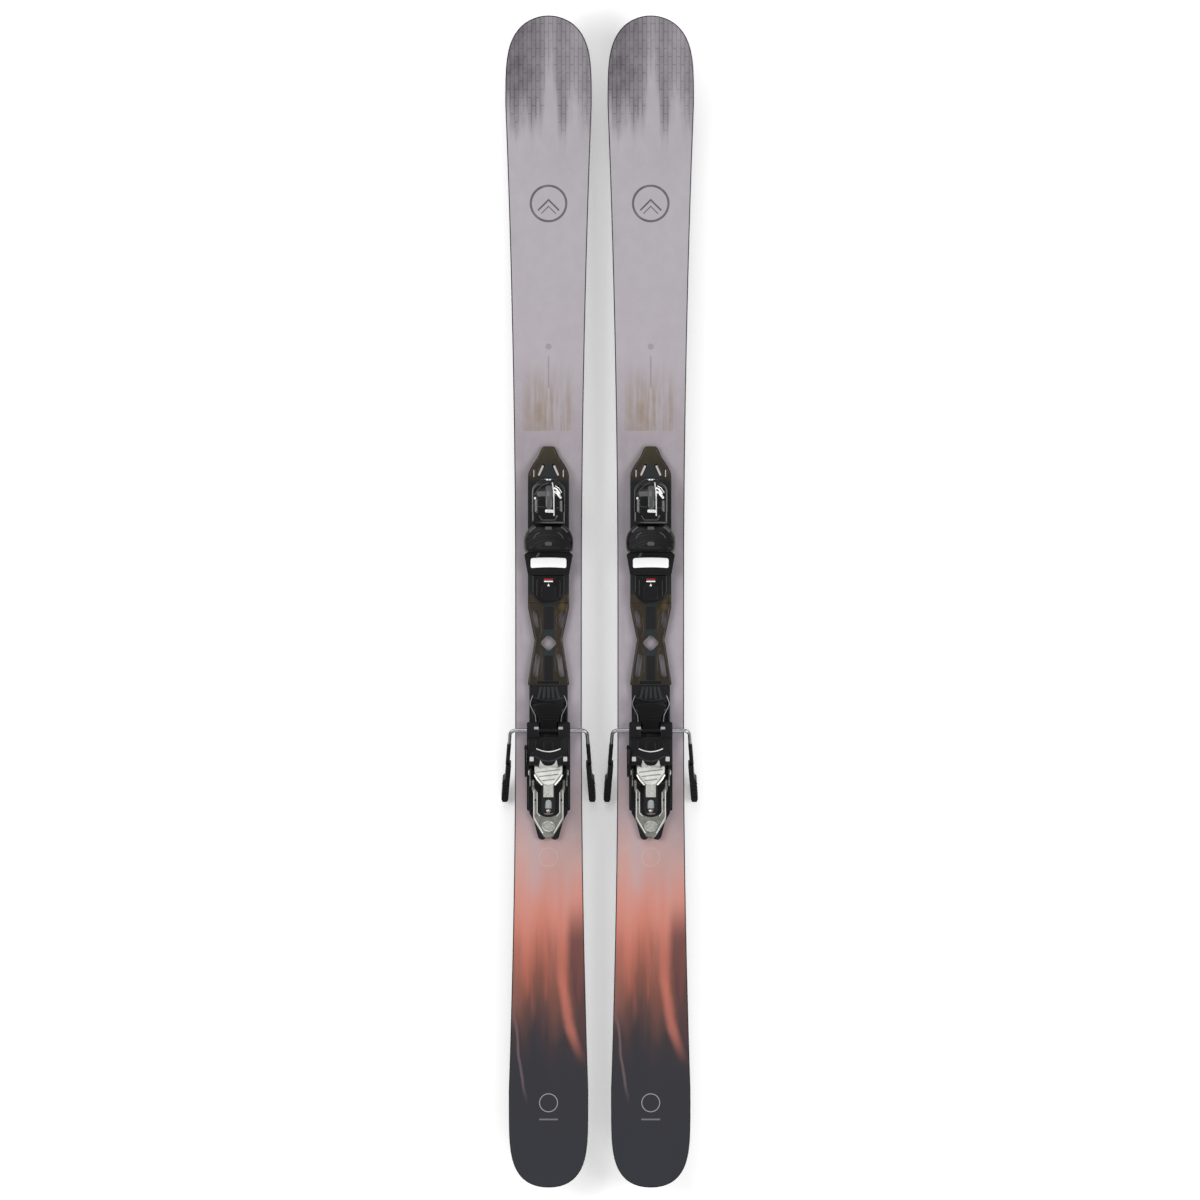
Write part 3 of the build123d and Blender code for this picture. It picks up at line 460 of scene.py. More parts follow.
    radius = away_from(0.551)
    ring = (radius - 0.0245).size() < 0.0016
    peak = (across.size() + (along - 0.556)).size() < 0.0017
    low_peak = (across.size() + (along - 0.547)).size() < 0.0010
    inside = radius < 0.0175
    mark = ring.math("MAXIMUM", peak.math("MAXIMUM", low_peak) * inside)
    ground = (0.85 * mark).blend(ground, "3C3C43")
    bar_mark = (across.size() < 0.0011) * ((along - 0.318).size() < 0.022)
    small = (away_from(0.353) < 0.0042).math("MAXIMUM", bar_mark)
    ground = (0.5 * small).blend(ground, "6F6B73")
    for ring_y, ring_size, strength in ((-0.353, 0.0125, 0.35), (-0.693, 0.0124, 0.55)):
        line = (away_from(ring_y) - ring_size).size() < 0.0006
        ground = (strength * line).blend(ground, "B9B3B6")
    tail_bar = (across.size() < 0.013) * ((along + 0.716).size() < 0.0011)
    ground = (0.4 * tail_bar).blend(ground, "9C979A")

    # paper-like flecks and soft clouds on the pale part of the film
    pale = along.rise(-0.42, -0.30)
    ground = (mottle.rise(0.35, 0.75) * pale * 0.14).blend(ground, "BDB7BD")
    ground = (cloud.rise(0.5, 0.8) * pale * 0.2).blend(ground, "847D85")
    connect(
        shader,
        Base_Color=ground,
        Roughness=0.42 + 0.12 * mottle,
        Normal=mottle.bump(0.12, 0.0001),
    )
    return material


centres = {}
films = {}
for side in SIDES:
    low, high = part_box(f"{side}_topsheet")
    centres[side] = (low[0] + high[0]) / 2
    films[side] = printed_film(side, centres[side])
refined("topsheet", films, flat_angle=0)


# ======================================== plates
# The binding rides on a plate in three links: a front plate with a smoky nose, an
# X-shaped middle link and a rear rail. Eight plated screws hold them to the ski.

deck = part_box("left_toe_track")[0][2]


def solid(name, shape, material, body, part=None, crease=32):
    """One piece on each ski, which may stand for a CAD part. The shape is points and faces, in
    millimetres about the ski's middle line and above its deck."""
    points, faces = shape
    for side in SIDES:
        mesh = bpy.data.meshes.new(f"{side}_{name}")
        placed = np.asarray(points) * MM + (centres[side], 0.0, deck)
        mesh.from_pydata(placed.tolist(), [], faces)
        form = bmesh.new()
        form.from_mesh(mesh)
        bmesh.ops.remove_doubles(form, verts=form.verts, dist=0.004 * MM)
        bmesh.ops.recalc_face_normals(form, faces=form.faces)
        form.to_mesh(mesh)
        form.free()
        surface(mesh, material, side, crease)
        piece = new_object(f"{side}_{name}", mesh)
        fit(piece, f"{side}_{body}", part and f"{side}_{part}")


def loft(rings, capped=True, looped=False):
    """Closed rings of points joined in order by quads, with a face on each end or none."""
    stations, count = rings.shape[:2]
    spans = stations if looped else stations - 1
    ring, step = np.meshgrid(np.arange(spans), np.arange(count), indexing="ij")
    after = (ring + 1) % stations
    beside = (step + 1) % count
    corners = (ring * count + step, ring * count + beside, after * count + beside)
    quads = np.stack([*corners, after * count + step], -1).reshape(-1, 4).tolist()
    if capped and not looped:
        last = (stations - 1) * count
        quads += [list(range(count))[::-1], list(range(last, last + count))]
    return rings.reshape(-1, 3), quads


def joined(*shapes):
    """Several shapes as one."""
    points, faces = [], []
    for more, more_faces in shapes:
        start = sum(len(p) for p in points)
        points.append(np.asarray(more))
        faces += [[start + i for i in face] for face in more_faces]
    return np.concatenate(points), faces


def full_turn(count):
    """Angles spread evenly round a circle."""
    return np.linspace(0, 2 * np.pi, count, endpoint=False)


def bar(path, width, height, blunt=0.35, power=0.7):
    """A rounded bar along a path: a super-ellipse across each station, drawn in over the last
    half width at each end by the square root of one minus the distance squared."""
    path = np.asarray(path, float)
    steps = np.linalg.norm(np.diff(path, axis=0), axis=1)
    along = np.concatenate([[0], np.cumsum(steps)])
    end = min(width * 0.5, along[-1] * 0.4)
    near = end * (1 - np.cos(np.linspace(0, np.pi / 2, 5)))
    inner = along[(along > end) & (along < along[-1] - end)]
    places = np.unique(np.round(np.concatenate([near, inner, along[-1] - near]), 5))
    line = np.stack([np.interp(places, along, path[:, i]) for i in range(3)], -1)
    heading = np.gradient(line, places, axis=0)
    across = np.cross(heading, (0.0, 0.0, 1.0))
    across /= np.linalg.norm(across, axis=1)[:, None]
    gap = np.minimum(places, along[-1] - places)
    draw = np.sqrt(np.clip(1 - (1 - np.clip(gap / end, 0, 1)) ** 2, 0, 1))
    draw = (blunt + (1 - blunt) * draw)[:, None, None]
    turn = full_turn(16)
    side = np.sign(np.cos(turn)) * np.abs(np.cos(turn)) ** power * width / 2
    rise = np.sign(np.sin(turn)) * np.abs(np.sin(turn)) ** power * height
    rings = line[:, None, :] + across[:, None, :] * side[None, :, None] * draw
    rings[:, :, 2] += rise[None, :] * draw[:, :, 0]
    return loft(rings)


def both_ways(shape):
    """A shape and its mirror image across the ski's middle line."""
    points, faces = shape
    return joined(shape, (np.asarray(points) * (-1, 1, 1), faces))


def pillow(outline, low, high, edge=0.6, crown=0.0, lift=None):
    """A small plate: upright sides on its outline, a quarter-round edge, a top that rises by the
    crown to its middle, and a flat back. lift adds a height for each place."""
    outline = np.asarray(outline, float)
    middle = outline.mean(axis=0)
    out = outline - middle
    span = np.linalg.norm(out, axis=1)[:, None]
    rings = [(outline, low)]
    for turn in np.linspace(0, np.pi / 2, 5):
        inset = outline - out / span * edge * (1 - np.cos(turn))
        rings.append((inset, high - edge + edge * np.sin(turn)))
    shoulder = outline - out / span * edge
    for share in (0.75, 0.5, 0.25, 0.02):
        level = high + crown * (1 - share**2)
        rings.append((middle + (shoulder - middle) * share, level))
    grid = np.array([np.column_stack([plan, np.full(len(plan), z)]) for plan, z in rings])
    if lift is not None:
        grid[:, :, 2] += lift(grid[:, :, 0], grid[:, :, 1])
    return loft(grid)


def rounded(width, length, radius, x=0.0, y=0.0, turn=0.0, bulge=0.0):
    """The plan of a rounded rectangle: a quarter circle at each corner, then turned and moved.
    bulge bows its front and back edges forward by a parabola."""
    corner = np.linspace(0, np.pi / 2, 7)
    arcs = []
    for i, (sx, sy) in enumerate(((1, 1), (-1, 1), (-1, -1), (1, -1))):
        cx, cy = sx * (width / 2 - radius), sy * (length / 2 - radius)
        angle = corner + i * np.pi / 2
        arcs.append(np.column_stack([cx + radius * np.cos(angle), cy + radius * np.sin(angle)]))
    plan = np.concatenate(arcs)
    if bulge:
        top = np.linspace(1, -1, 14)[1:-1] * (width / 2 - radius)
        front = np.column_stack([top, np.full(12, length / 2)])
        back = np.column_stack([-top, np.full(12, -length / 2)])
        plan = np.concatenate([arcs[0], front, arcs[1], arcs[2], back, arcs[3]])
        plan[:, 1] += bulge * (1 - (plan[:, 0] / (width / 2)) ** 2)
    cosine, sine = np.cos(turn), np.sin(turn)
    return plan @ np.array([[cosine, sine], [-sine, cosine]]) + (x, y)


def along_line(*corners, count=12):
    """Points spread evenly along straight runs between corners."""
    corners = np.asarray(corners, float)
    share = np.linspace(0, len(corners) - 1, count * (len(corners) - 1) + 1)
    runs = np.arange(len(corners))
    return np.stack([np.interp(share, runs, corners[:, i]) for i in range(3)], -1)


screw_plating = metal("zinc_plating", "8F9296", "C9CBCE", 0.22)
refined("screws", screw_plating, 0.25)


def smoky_plate(side, centre_x):
    """Half-clear olive plastic, with an opaque grey-green band down its middle. Gold glints on the
    olive are painted highlights.
    """
    material, place, shader = start_finish(
        f"{side}_smoky_plate", Coat_Weight=0.4, Coat_Roughness=0.12, Specular_IOR_Level=0.3
    )
    own, across, along = own_axes(place, centre_x)
    cloud = own.noise(60, 4, (1, 0.5, 1))
    painted_glint = own.noise(34, 3, (1, 0.45, 1), 0.6)
    wedge_start, wedge_tip = 0.03, 0.197
    band = across.size().rise(0.0086, 0.0068) * (along < wedge_start)
    wedge = (across.size() - (wedge_tip - along) * 0.42).rise(0.0015, -0.0015)
    wedge = wedge * (along > wedge_start)
    solid_part = band.math("MAXIMUM", wedge)
    behind = along.rise(0.172, 0.165) * (along > 0.01)
    solid_part = solid_part.math("MAXIMUM", behind)
    olive = cloud.blend("1A140C", "33291A")
    # painted highlight: gold glints laid over the olive where the noise is high
    olive = (painted_glint.rise(0.56, 0.74) * 0.6).blend(olive, "6A5628")
    slate = cloud.blend("161B1C", "21282A")
    slate = behind.blend(slate, cloud.blend("0D0F10", "16191A"))
    colour = solid_part.blend(olive, slate)
    tips = along.rise(0.183, 0.212)
    colour = (0.6 * tips).blend(colour, "33301A")
    connect(
        shader,
        Base_Color=colour,
        Roughness=0.24 + 0.2 * cloud,
        Normal=own.noise(700, 2).bump(0.15, 0.00006),
    )
    return material


smoky = {side: smoky_plate(side, centres[side]) for side in SIDES}
tread_black = moulded("tread_black", "070708", "0E0E10", 0.6)
grained_black = moulded("grained_black", "0C0C0E", "17171A", 0.5)
gloss_black = moulded("gloss_black", "060607", "0D0D0F", 0.2, 300.0, 0.00002, 0.5)
refined("toe_track", smoky, 0.6)
refined("bridge", smoky, 0.5)
refined("heel_track", grained_black, 0.5, flat_angle=0)
refined("toe_cover", gloss_black, 0.9)

# raised ribs along the arms of the middle link, a spine in two lengths between them, and a
# dark groove where it meets the rear rail
arm = along_line((26.6, -3, 9), (17.4, -51, 9), (17.4, -55, 9), (25.2, -99, 9), (26.6, -112, 9))
inner_arm = along_line((24.5, -3.5, 9), (11.5, -22, 9), (9.6, -40, 9), (12.5, -50, 9))
lower_arm = along_line((12.6, -63, 9), (8.8, -78, 9), (9.5, -96, 9), (17.5, -110, 9))
ribs = joined(bar(arm, 1.3, 0.9), bar(inner_arm, 1.0, 0.7), bar(lower_arm, 1.0, 0.7))
solid("bridge_ribs", both_ways(ribs), smoky, "ski_body")
spine_front = rounded(13.6, 31, 2.2, 0, -22.5)
spine_back = rounded(12.4, 34, 2.2, 0, -91.5)
spine = joined(pillow(spine_front, 8.6, 9.7, 0.5), pillow(spine_back, 8.6, 9.7, 0.5))
solid("bridge_spine", spine, grained_black, "ski_body")
groove_liner = pillow(rounded(29.6, 3.6, 0.5, 0, -112.0), 7.05, 7.9, 0.3)
solid("bridge_groove", groove_liner, tread_black, "ski_body")


def nose_top(y):
    """Height of the nose: up from its front edge to the flat of the plate."""
    return np.interp(y, [172, 215], [12, 6])


# the nose carries a raised rim and two pairs of slots. Pale sheets a little below the top in the
# slots are painted light: they stand for the lit topsheet seen through them
rim_x = np.array([6.2, 9.6, 12.8, 16.6, 20.6, 24.6, 26.4])
rim_y = np.array([212.6, 206.6, 200.6, 194.2, 187.6, 180.2, 173.4])
rim = np.column_stack([rim_x, rim_y, nose_top(rim_y) - 0.1])
solid("nose_rim", both_ways(bar(rim, 1.4, 0.9)), smoky, "ski_body")
# a plain pale colour; in the nose slots it is painted light
window_glaze = moulded("window_glaze", "A9A2A6", "C8C2C4", 0.3, 500.0, 0.00002, 0.4)
slanted = rounded(2.8, 15.5, 1.35, 10.6, 181.5, np.radians(24))
upright = rounded(1.5, 10.6, 0.7, 20.4, 177.4)
slot_light_sheets = joined(
    pillow(slanted, -1.6, -0.9, 0.3, lift=lambda x, y: nose_top(y)),
    pillow(upright, -1.6, -0.9, 0.3, lift=lambda x, y: nose_top(y)),
)
solid("nose_windows", both_ways(slot_light_sheets), window_glaze, "ski_body")

# fanned ribs on the tongue and the bright spring wires either side of it
tongue_ribs = []
for top_x, foot_x in ((0.0, 0.0), (5.2, 7.0), (10.2, 14.4)):
    run = along_line((top_x, -117.5, 9.2), (foot_x, -134.6, 9.2))
    rib = bar(run, 3.4, 0.9, 0.6, 0.45)
    tongue_ribs.append(rib if top_x == 0 else both_ways(rib))
rear_lip = along_line((0, -136.6, 9.3), (10, -135.6, 9.3), (20.5, -132.2, 9.3))
tongue_ribs.append(both_ways(bar(rear_lip, 1.5, 0.9)))
rail_grey = moulded("rail_grey", "232427", "35373A", 0.42)
solid("tongue_ribs", joined(*tongue_ribs), rail_grey, "ski_body")
bright_wire = metal("bright_wire", "7F8184", "C4C6C9", 0.18, (1, 1, 1), 90.0, 0.6)
spring_path = [(21.6, -129.5, 9.5), (25.4, -139, 9.5), (25.2, -143, 9.5), (18.2, -157, 9.5)]
spring_path += [(17.2, -166.5, 9.5)]
spring_wire = bar(along_line(*spring_path, count=8), 1.3, 1.0)
solid("track_springs", both_ways(spring_wire), bright_wire, "carriage_body")
ledge = bar(along_line((25.0, -117, 8), (25.0, -152, 8)), 2.0, 0.8)
solid("track_ledges", both_ways(ledge), grained_black, "ski_body")

# the cover's raised U, a plain red bar over a white one, and a pointer
panel = rounded(33, 30, 6, 0, 18.5)
solid("cover_panel", pillow(panel, 14.6, 15.9, 0.7), gloss_black, "ski_body")
inner_panel = rounded(20, 22, 5, 0, 13.6)
raised_black = moulded("raised_black", "101012", "1A1A1C", 0.32)
solid(
    "cover_inset", pillow(inner_panel, 15.6, 16.6, 0.6), raised_black, "ski_body"
)
flag_red = moulded("flag_red", "8E1E24", "A52A2E", 0.35)
paint_white = moulded("paint_white", "DADADA", "EFEFEF", 0.35)
red_bar = pillow(rounded(12.5, 2.0, 0.5, 0, 31.0), 15.6, 16.3, 0.2)
white_bar = pillow(rounded(12.5, 1.8, 0.5, 0, 28.2), 15.6, 16.3, 0.2)
pointer = pillow([(-1.7, 21.6), (1.7, 21.6), (0.3, 25.0), (-0.3, 25.0)], 16.2, 17.0, 0.2)
solid("cover_red_bar", red_bar, flag_red, "ski_body")
solid("cover_white_marks", joined(white_bar, pointer), paint_white, "ski_body")


# ======================================== toe piece
# A glossy hood covers the release spring and its adjusting screw. The jaw, moulded with
# its two wings and ribbed dome, swings on the upright pin behind them.

dark_shell = moulded("dark_shell", "0A0A0B", "141416", 0.42)
spring_steel = metal("oiled_spring", "55585C", "8B8F94", 0.25)
refined("toe_housing", gloss_black, 0.5)
refined("toe_pin", screw_plating, 0.4)
refined("toe_screw", screw_plating, 0.3)
refined("sole_collar", dark_shell, 0.8)

crown_y = np.array([100.0, 140.0, 146.0, 152.0, 157.0, 161.0, 165.0, 168.0, 170.0])
crown_z = np.array([52.0, 52.0, 50.9, 48.4, 45.4, 42.2, 37.9, 33.2, 28.0])
hood_rear, hood_straight_to, hood_round = 108.2, 153.0, 17.6
hood_side = 22.9
jaw_reach_to = 124.0
jaw_clear_z = 50.5
hood_depth = 14.0


def hood_half(y):
    """Half the hood's width: straight sides, then a quarter ellipse round its front."""
    forward = np.clip(y - hood_straight_to, 0, None) / hood_round
    return hood_side * np.sqrt(np.clip(1 - forward**2, 0.0004, 1))


def hood_heights(y):
    """The hood's underside, which steps up over the jaw's reach, and its height above that: flat
    over the pin, then round and down to the nose."""
    top = np.interp(y, crown_y, crown_z)
    low = np.where(y < jaw_reach_to, jaw_clear_z, top - hood_depth)
    return low, top + 0.6 - low


def hood_shape():
    """Sections across the hood: a super-ellipse of power five over a flat underside, sunk a
    little towards the sides."""
    y = np.concatenate([np.linspace(108.4, 123.6, 8), [124.2], np.linspace(126, 170.4, 44)])
    share = np.linspace(0, np.pi, 41)
    low, rise = (level[:, None] for level in hood_heights(y))
    end = np.clip((y - hood_rear) / 1.4, 0.35, 1)[:, None]
    x = np.sign(np.cos(share)) * np.abs(np.cos(share)) ** 0.4 * hood_half(y)[:, None]
    z = low + rise * end * np.abs(np.sin(share)) ** 0.4 - 0.9 * (x / hood_side) ** 2
    return loft(np.stack([x, np.broadcast_to(y[:, None], x.shape), np.maximum(z, low)], -1))


solid("toe_hood", hood_shape(), gloss_black, "ski_body", crease=40)


def on_hood(points):
    """Points of a plan lifted on to the hood."""
    x, y = np.asarray(points, float)[:, :2].T
    low, rise = hood_heights(y)
    share = np.clip(1 - np.abs(x / hood_half(y)) ** 5, 0, 1) ** 0.2
    return np.column_stack([x, y, low + rise * share - 0.9 * (x / hood_side) ** 2])


def hood_line(*corners, count=10):
    """A run of points along a plan's corners, lying on the hood."""
    return on_hood(along_line(*[(*corner, 0.0) for corner in corners], count=count))


grey_ridge = moulded("grey_ridge", "3A3B3D", "5A5B5D", 0.3, 160.0, 0.0003, 0.3)
ridge = bar(hood_line((0.6, 160.5), (0.6, 128.0), count=40), 9.4, 2.0, 0.3, 0.6)
solid("hood_ridge", ridge, grey_ridge, "ski_body")
# bright trim metal: near-white and only part metal, so it stays bright whatever it faces, in place
# of reflections
polished_and_reflection = metal("polished_trim", "C9CACA", "FBFBF9", 0.15, (1, 1, 1), 90.0, 0.4)
# painted reflections on the glossy hood, laid as raised bright bars: an L down and across its
# window, and bright streaks on its right side
upright_reflection = bar(hood_line((5.4, 165.2), (6.3, 158.0), (7.3, 150.0), (7.6, 118.5)), 1.9, 1.5)
cross_reflection = bar(hood_line((-4.6, 125.4), (7.0, 125.2)), 4.4, 2.4, 0.8, 0.4)
right_reflection_a = bar(hood_line((6.2, 157.6), (11.0, 155.8), (16.2, 148.6)), 3.0, 1.4)
right_reflection_b = bar(hood_line((6.6, 152.2), (12.0, 150.4), (17.6, 142.6)), 3.6, 1.4)
right_reflection_c = bar(hood_line((9.0, 160.6), (14.4, 157.0), (18.6, 150.6)), 1.2, 1.2)
hood_reflections = joined(upright_reflection, cross_reflection, right_reflection_a, right_reflection_b, right_reflection_c)
solid("hood_trims", hood_reflections, polished_and_reflection, "ski_body")
dot = on_hood([(-18.6, 143.0)])[0]
dot_shape = pillow(rounded(2.8, 3.2, 1.2, dot[0], dot[1], 0.5), dot[2] - 1.2, dot[2] + 0.5, 0.4)
solid("hood_dot", dot_shape, paint_white, "ski_body")
seam_left = bar(hood_line((-20.2, 133.5), (-12.0, 131.4), (-5.0, 130.8)), 0.8, 0.7)
seam_right = bar(hood_line((10.0, 129.6), (15.0, 129.8), (20.2, 131.5)), 0.8, 0.7)
brow = bar(hood_line((-19.4, 147.0), (-15.4, 154.0), (-8.0, 161.6), (0.0, 164.6)), 0.9, 0.8)
rear_lug = bar(hood_line((9.5, 116.8), (13.0, 119.4)), 2.4, 1.6)
rear_brow = bar(hood_line((-13.0, 119.0), (-9.0, 113.0), (9.0, 113.0), (13.0, 119.0)), 1.4, 1.3)
seams = joined(seam_left, seam_right, brow, rear_lug, rear_brow)
solid("hood_seams", seams, grey_ridge, "ski_body")

wing_turn = np.array([0, 32.4, 36, 40, 46, 51, 56.4, 62.6, 70.4, 90])
wing_reach = np.array([38.2, 38.2, 41.6, 44.8, 49.4, 53.2, 56.2, 58.9, 61.6, 58.3])
boot_toe_y = 49.0
jaw_front, jaw_rear, jaw_pocket = 58.3, 20.4, 31.0
wing_foot, wing_edge = 22.8, 24.0
toe_pin_y = 130.0


def spaced(first, last, count):
    """Even steps across each row, from a column of first values to one of last values."""
    return first + (last - first) * np.linspace(0, 1, count)[None, :]


def jaw_shape():
    """The wings as one sweep round the boot's toe. Each slice runs out along the ribbed dome
    from the rear edge to the outside, down it, and back under by the boot's pocket."""
    turn = np.radians(np.linspace(32.5, 147.5, 97))
    folded = np.where(turn > np.pi / 2, np.pi - turn, turn)
    reach = np.interp(folded, np.radians(wing_turn), wing_reach)
    in_front = folded > np.radians(wing_turn[-2])
    reach = np.where(in_front, jaw_front / np.sin(folded), reach)[:, None]
    rear = np.minimum(jaw_rear / np.sin(folded)[:, None], reach)
    pocket = np.clip(jaw_pocket, rear, reach)

    def dome(r):
        """Height at a reach: a quarter circle inside the rim, a sunk rear edge and sine ribs."""
        roll = np.clip((reach - r) / 8.0, 0, 1)
        z = 37.0 + 12.6 * np.sqrt(1 - (1 - roll) ** 2)
        z = z - 5.0 * (1 - np.clip((r - rear) / 9.0, 0, 1)) ** 2
        ring = np.sin(np.clip((r - 30.0) / 24.0, 0, 1) * np.pi * 3.0) ** 2
        inside = np.clip((reach - r) / 6.0, 0, 1)
        return z + 1.3 * (ring - 0.4) * inside

    top_r = spaced(rear, reach, 44)
    top_z = dome(top_r)
    out_r = np.broadcast_to(reach, (len(turn), 7))
    out_z = spaced(top_z[:, -1:], wing_edge, 8)[:, 1:]
    under_r = np.maximum(spaced(reach - 1.2, pocket, 6), pocket)
    under_z = np.full(under_r.shape, wing_foot)
    roof = np.minimum(41.5, top_z[:, :1] - 2.0)
    wall_r = np.broadcast_to(pocket, (len(turn), 5))
    wall_z = spaced(wing_foot, roof, 7)[:, 1:-1]
    roof_r = spaced(pocket, rear, 6)
    roof_z = np.broadcast_to(roof, roof_r.shape)
    r = np.concatenate([top_r, out_r, under_r, wall_r, roof_r], axis=1)
    z = np.concatenate([top_z, out_z, under_z, wall_z, roof_z], axis=1)
    x = r * np.cos(turn)[:, None]
    y = boot_toe_y + r * np.sin(turn)[:, None]
    return loft(np.stack([x, y, z], -1), capped=False)


def neck_shape():
    """The neck under the dome is a plain block, and the eye is a rectangle swept round the pin
    that it turns on."""
    foot, top = 22.4, 33.8
    block = [(-8, 106), (8, 106), (8, 122.8), (-8, 122.8)]
    turn = full_turn(48)[:, None]
    r, z = np.array([(4.1, foot), (9.9, foot), (9.9, top), (4.1, top)]).T[:, None, :]
    eye = np.stack([r * np.cos(turn), toe_pin_y + r * np.sin(turn), z + 0 * turn], -1)
    return joined(pillow(block, foot, top, 0.5), loft(eye, looped=True))


jaw = joined(jaw_shape(), neck_shape())
solid("jaw_finished", jaw, dark_shell, "jaw_body", "toe_jaw", 40)
# painted highlights: grey raised pads on the dark jaw where light catches its front band, shoulders
# and middle boss
jaw_grey = moulded("jaw_grey", "3B3C3F", "57585B", 0.36)
brow_pad = pillow(rounded(9.4, 4.6, 1.4, 0, 101.6), 48.8, 50.2, 0.5, 0.3)
boss = pillow(rounded(9.8, 6.0, 1.6, 0, 80.6), 47.0, 50.3, 0.6, 0.3)
shoulder_a = bar([(17.4, 103.6, 48.6), (22.0, 100.6, 48.4), (26.2, 95.8, 48.0)], 2.6, 1.2)
shoulder_b = bar([(12.6, 96.0, 49.4), (17.8, 92.4, 49.2), (21.0, 86.6, 48.6)], 1.5, 1.2)
jaw_highlight_pads = joined(brow_pad, boss, both_ways(joined(shoulder_a, shoulder_b)))
solid("jaw_marks", jaw_highlight_pads, jaw_grey, "jaw_body")
catch = pillow(rounded(3.2, 7.4, 1.0, -14.6, 64.8, -0.5), 19.4, 20.4, 0.4)
solid("collar_catch", catch, jaw_grey, "ski_body")
collar_rim = along_line((28.9, 45.2, 19.5), (28.4, 42.5, 19.5), (24.5, 39.4, 19.5), (0, 39.2, 19.5))
solid("collar_rim", both_ways(bar(collar_rim, 1.6, 0.9)), dark_shell, "ski_body")

slider_white = moulded("slider_white", "F0F0F0", "FDFDFD", 0.25, 500.0, 0.00003, 0.3)
pad_plan = rounded(49.4, 13.6, 2.6, 0, 53.4, bulge=1.1)
pad_stem = rounded(20, 9.4, 1.0, 0, 53.9)
pad = joined(pillow(pad_plan, 19.8, 22.3, 0.7), pillow(pad_stem, 16.0, 20.2, 0.3))
solid("pad_finished", pad, slider_white, "pad_body", "sole_pad")


def coil(start, heading, radius, wire, length, turns):
    """A coil spring: a round wire on a helix about its axis, its pitch even."""
    heading = np.asarray(heading, float)
    side_a = np.array([1.0, 0.0, 0.0])
    side_b = np.cross(heading, side_a)
    angle = np.linspace(0, 2 * np.pi * turns, int(turns * 22) + 1)
    far = np.linspace(wire / 2, length - wire / 2, len(angle))
    spoke = np.cos(angle)[:, None] * side_a + np.sin(angle)[:, None] * side_b
    line = np.asarray(start) + far[:, None] * heading + spoke * (radius - wire / 2)
    turn = full_turn(10)
    round_wire = spoke[:, None, :] * np.cos(turn)[None, :, None]
    round_wire = round_wire + heading * np.sin(turn)[None, :, None]
    return loft(line[:, None, :] + round_wire * wire / 2)


toe_coil = coil((0, 141.6, 28), (0, 1, 0), 8.9, 3.0, 18.3, 4.5)
solid("toe_coil", toe_coil, spring_steel, "ski_body", "toe_spring")


# ======================================== heel piece
# The carriage slides on the rear rail. The rocking body with its cup, silver plate and
# forked lever turns on a cross pin between the carriage's ears.

satin_silver = metal("satin_silver", "A9AAA6", "F4F4F0", 0.25, (1, 1, 1), 150.0, 0.45)
lever_silver = metal("lever_silver", "23241F", "A0A198", 0.24, (1, 1, 1), 130.0, 0.6)
neck_silver = metal("neck_silver", "5F605B", "D2D2CB", 0.26, (1, 1, 1), 260.0, 0.5)
# the indicator barrel's grey is painted lighter than its own colour, to make up for the shade it
# lies in under its window
barrel_grey = moulded("barrel_grey", "8B8C8E", "A6A7A9", 0.35)
refined("heel_carriage", grained_black, 0.35)
refined("adjust_lever", gloss_black)
refined("heel_housing", dark_shell, 0.35)
refined("heel_plate", neck_silver, 0.35)
refined("heel_cup", dark_shell, 0.6)
refined("heel_pin", screw_plating, 0.4)
refined("heel_indicator", barrel_grey, 0.4)
refined("heel_screw", screw_plating, 0.3)
refined("heel_lever", lever_silver, 0.9)

heel_pin = np.array([-236.0, 21.0])
lever_pin = np.array([-250.0, 36.0])
spring_slope = np.radians(19)
spring_heading = np.array([0, np.cos(spring_slope), -np.sin(spring_slope)])
spring_start = np.array([0, -292, 54.0]) + spring_heading * 19.1
heel_coil = coil(spring_start, spring_heading, 6.9, 2.6, 31.8, 7)
solid("heel_coil", heel_coil, spring_steel, "rocker_body", "heel_spring")

# carriage: raised deck between the bearings and the cup, side rails and bearing pads
deck_panel = rounded(38, 30, 4, 0, -203.6)
deck_boss = rounded(15, 22, 3, 0, -203.0)
carriage_deck = joined(
    pillow(deck_panel, 11.6, 13.2, 0.8),
    pillow(deck_boss, 12.8, 14.4, 0.8, 0.5),
    both_ways(pillow(rounded(8, 20, 2.5, 14.0, -203.0), 12.8, 13.9, 0.6)),
    both_ways(bar(along_line((27.6, -190, 12), (27.6, -226, 12)), 2.2, 1.2)),
    both_ways(pillow(rounded(7.4, 32, 2.0, 24.6, -270.0), 11.6, 12.9, 0.7)),
)
solid("carriage_deck", carriage_deck, raised_black, "carriage_body")
bearing_pads = both_ways(pillow(rounded(6.2, 3.8, 0.8, 16.8, -174.6), 17.8, 19.3, 0.4))
pale_grey = moulded("pale_grey", "8C8E90", "ABADAF", 0.32)
solid("bearing_pads", bearing_pads, pale_grey, "carriage_body")
bearing_tops = both_ways(pillow(rounded(14.8, 15.6, 2.2, 22.0, -177.8), 17.8, 18.9, 0.6))
solid("bearing_tops", bearing_tops, raised_black, "carriage_body")


def turned(profile, count):
    """A profile of radii and heights turned round an axis: two grids round it, and the height."""
    radius, height = np.asarray(profile, float).T[:, :, None]
    turn = full_turn(count)
    return radius * np.cos(turn), radius * np.sin(turn), height + 0 * turn


pin_profile = [(4.2, 26.4), (4.2, 27.2), (3.4, 27.8), (2.0, 28.1), (0.1, 28.1)]
forward, upward, outward = turned(pin_profile, 28)
pin_head = loft(np.stack([outward, heel_pin[0] + forward, heel_pin[1] + upward], -1))
solid("pin_heads", both_ways(pin_head), screw_plating, "carriage_body")


def plate_top(y):
    """Height of the rocker's top faces along the ski."""
    return np.interp(y, [-292, -253, -226, -200], [63, 50, 44, 44])


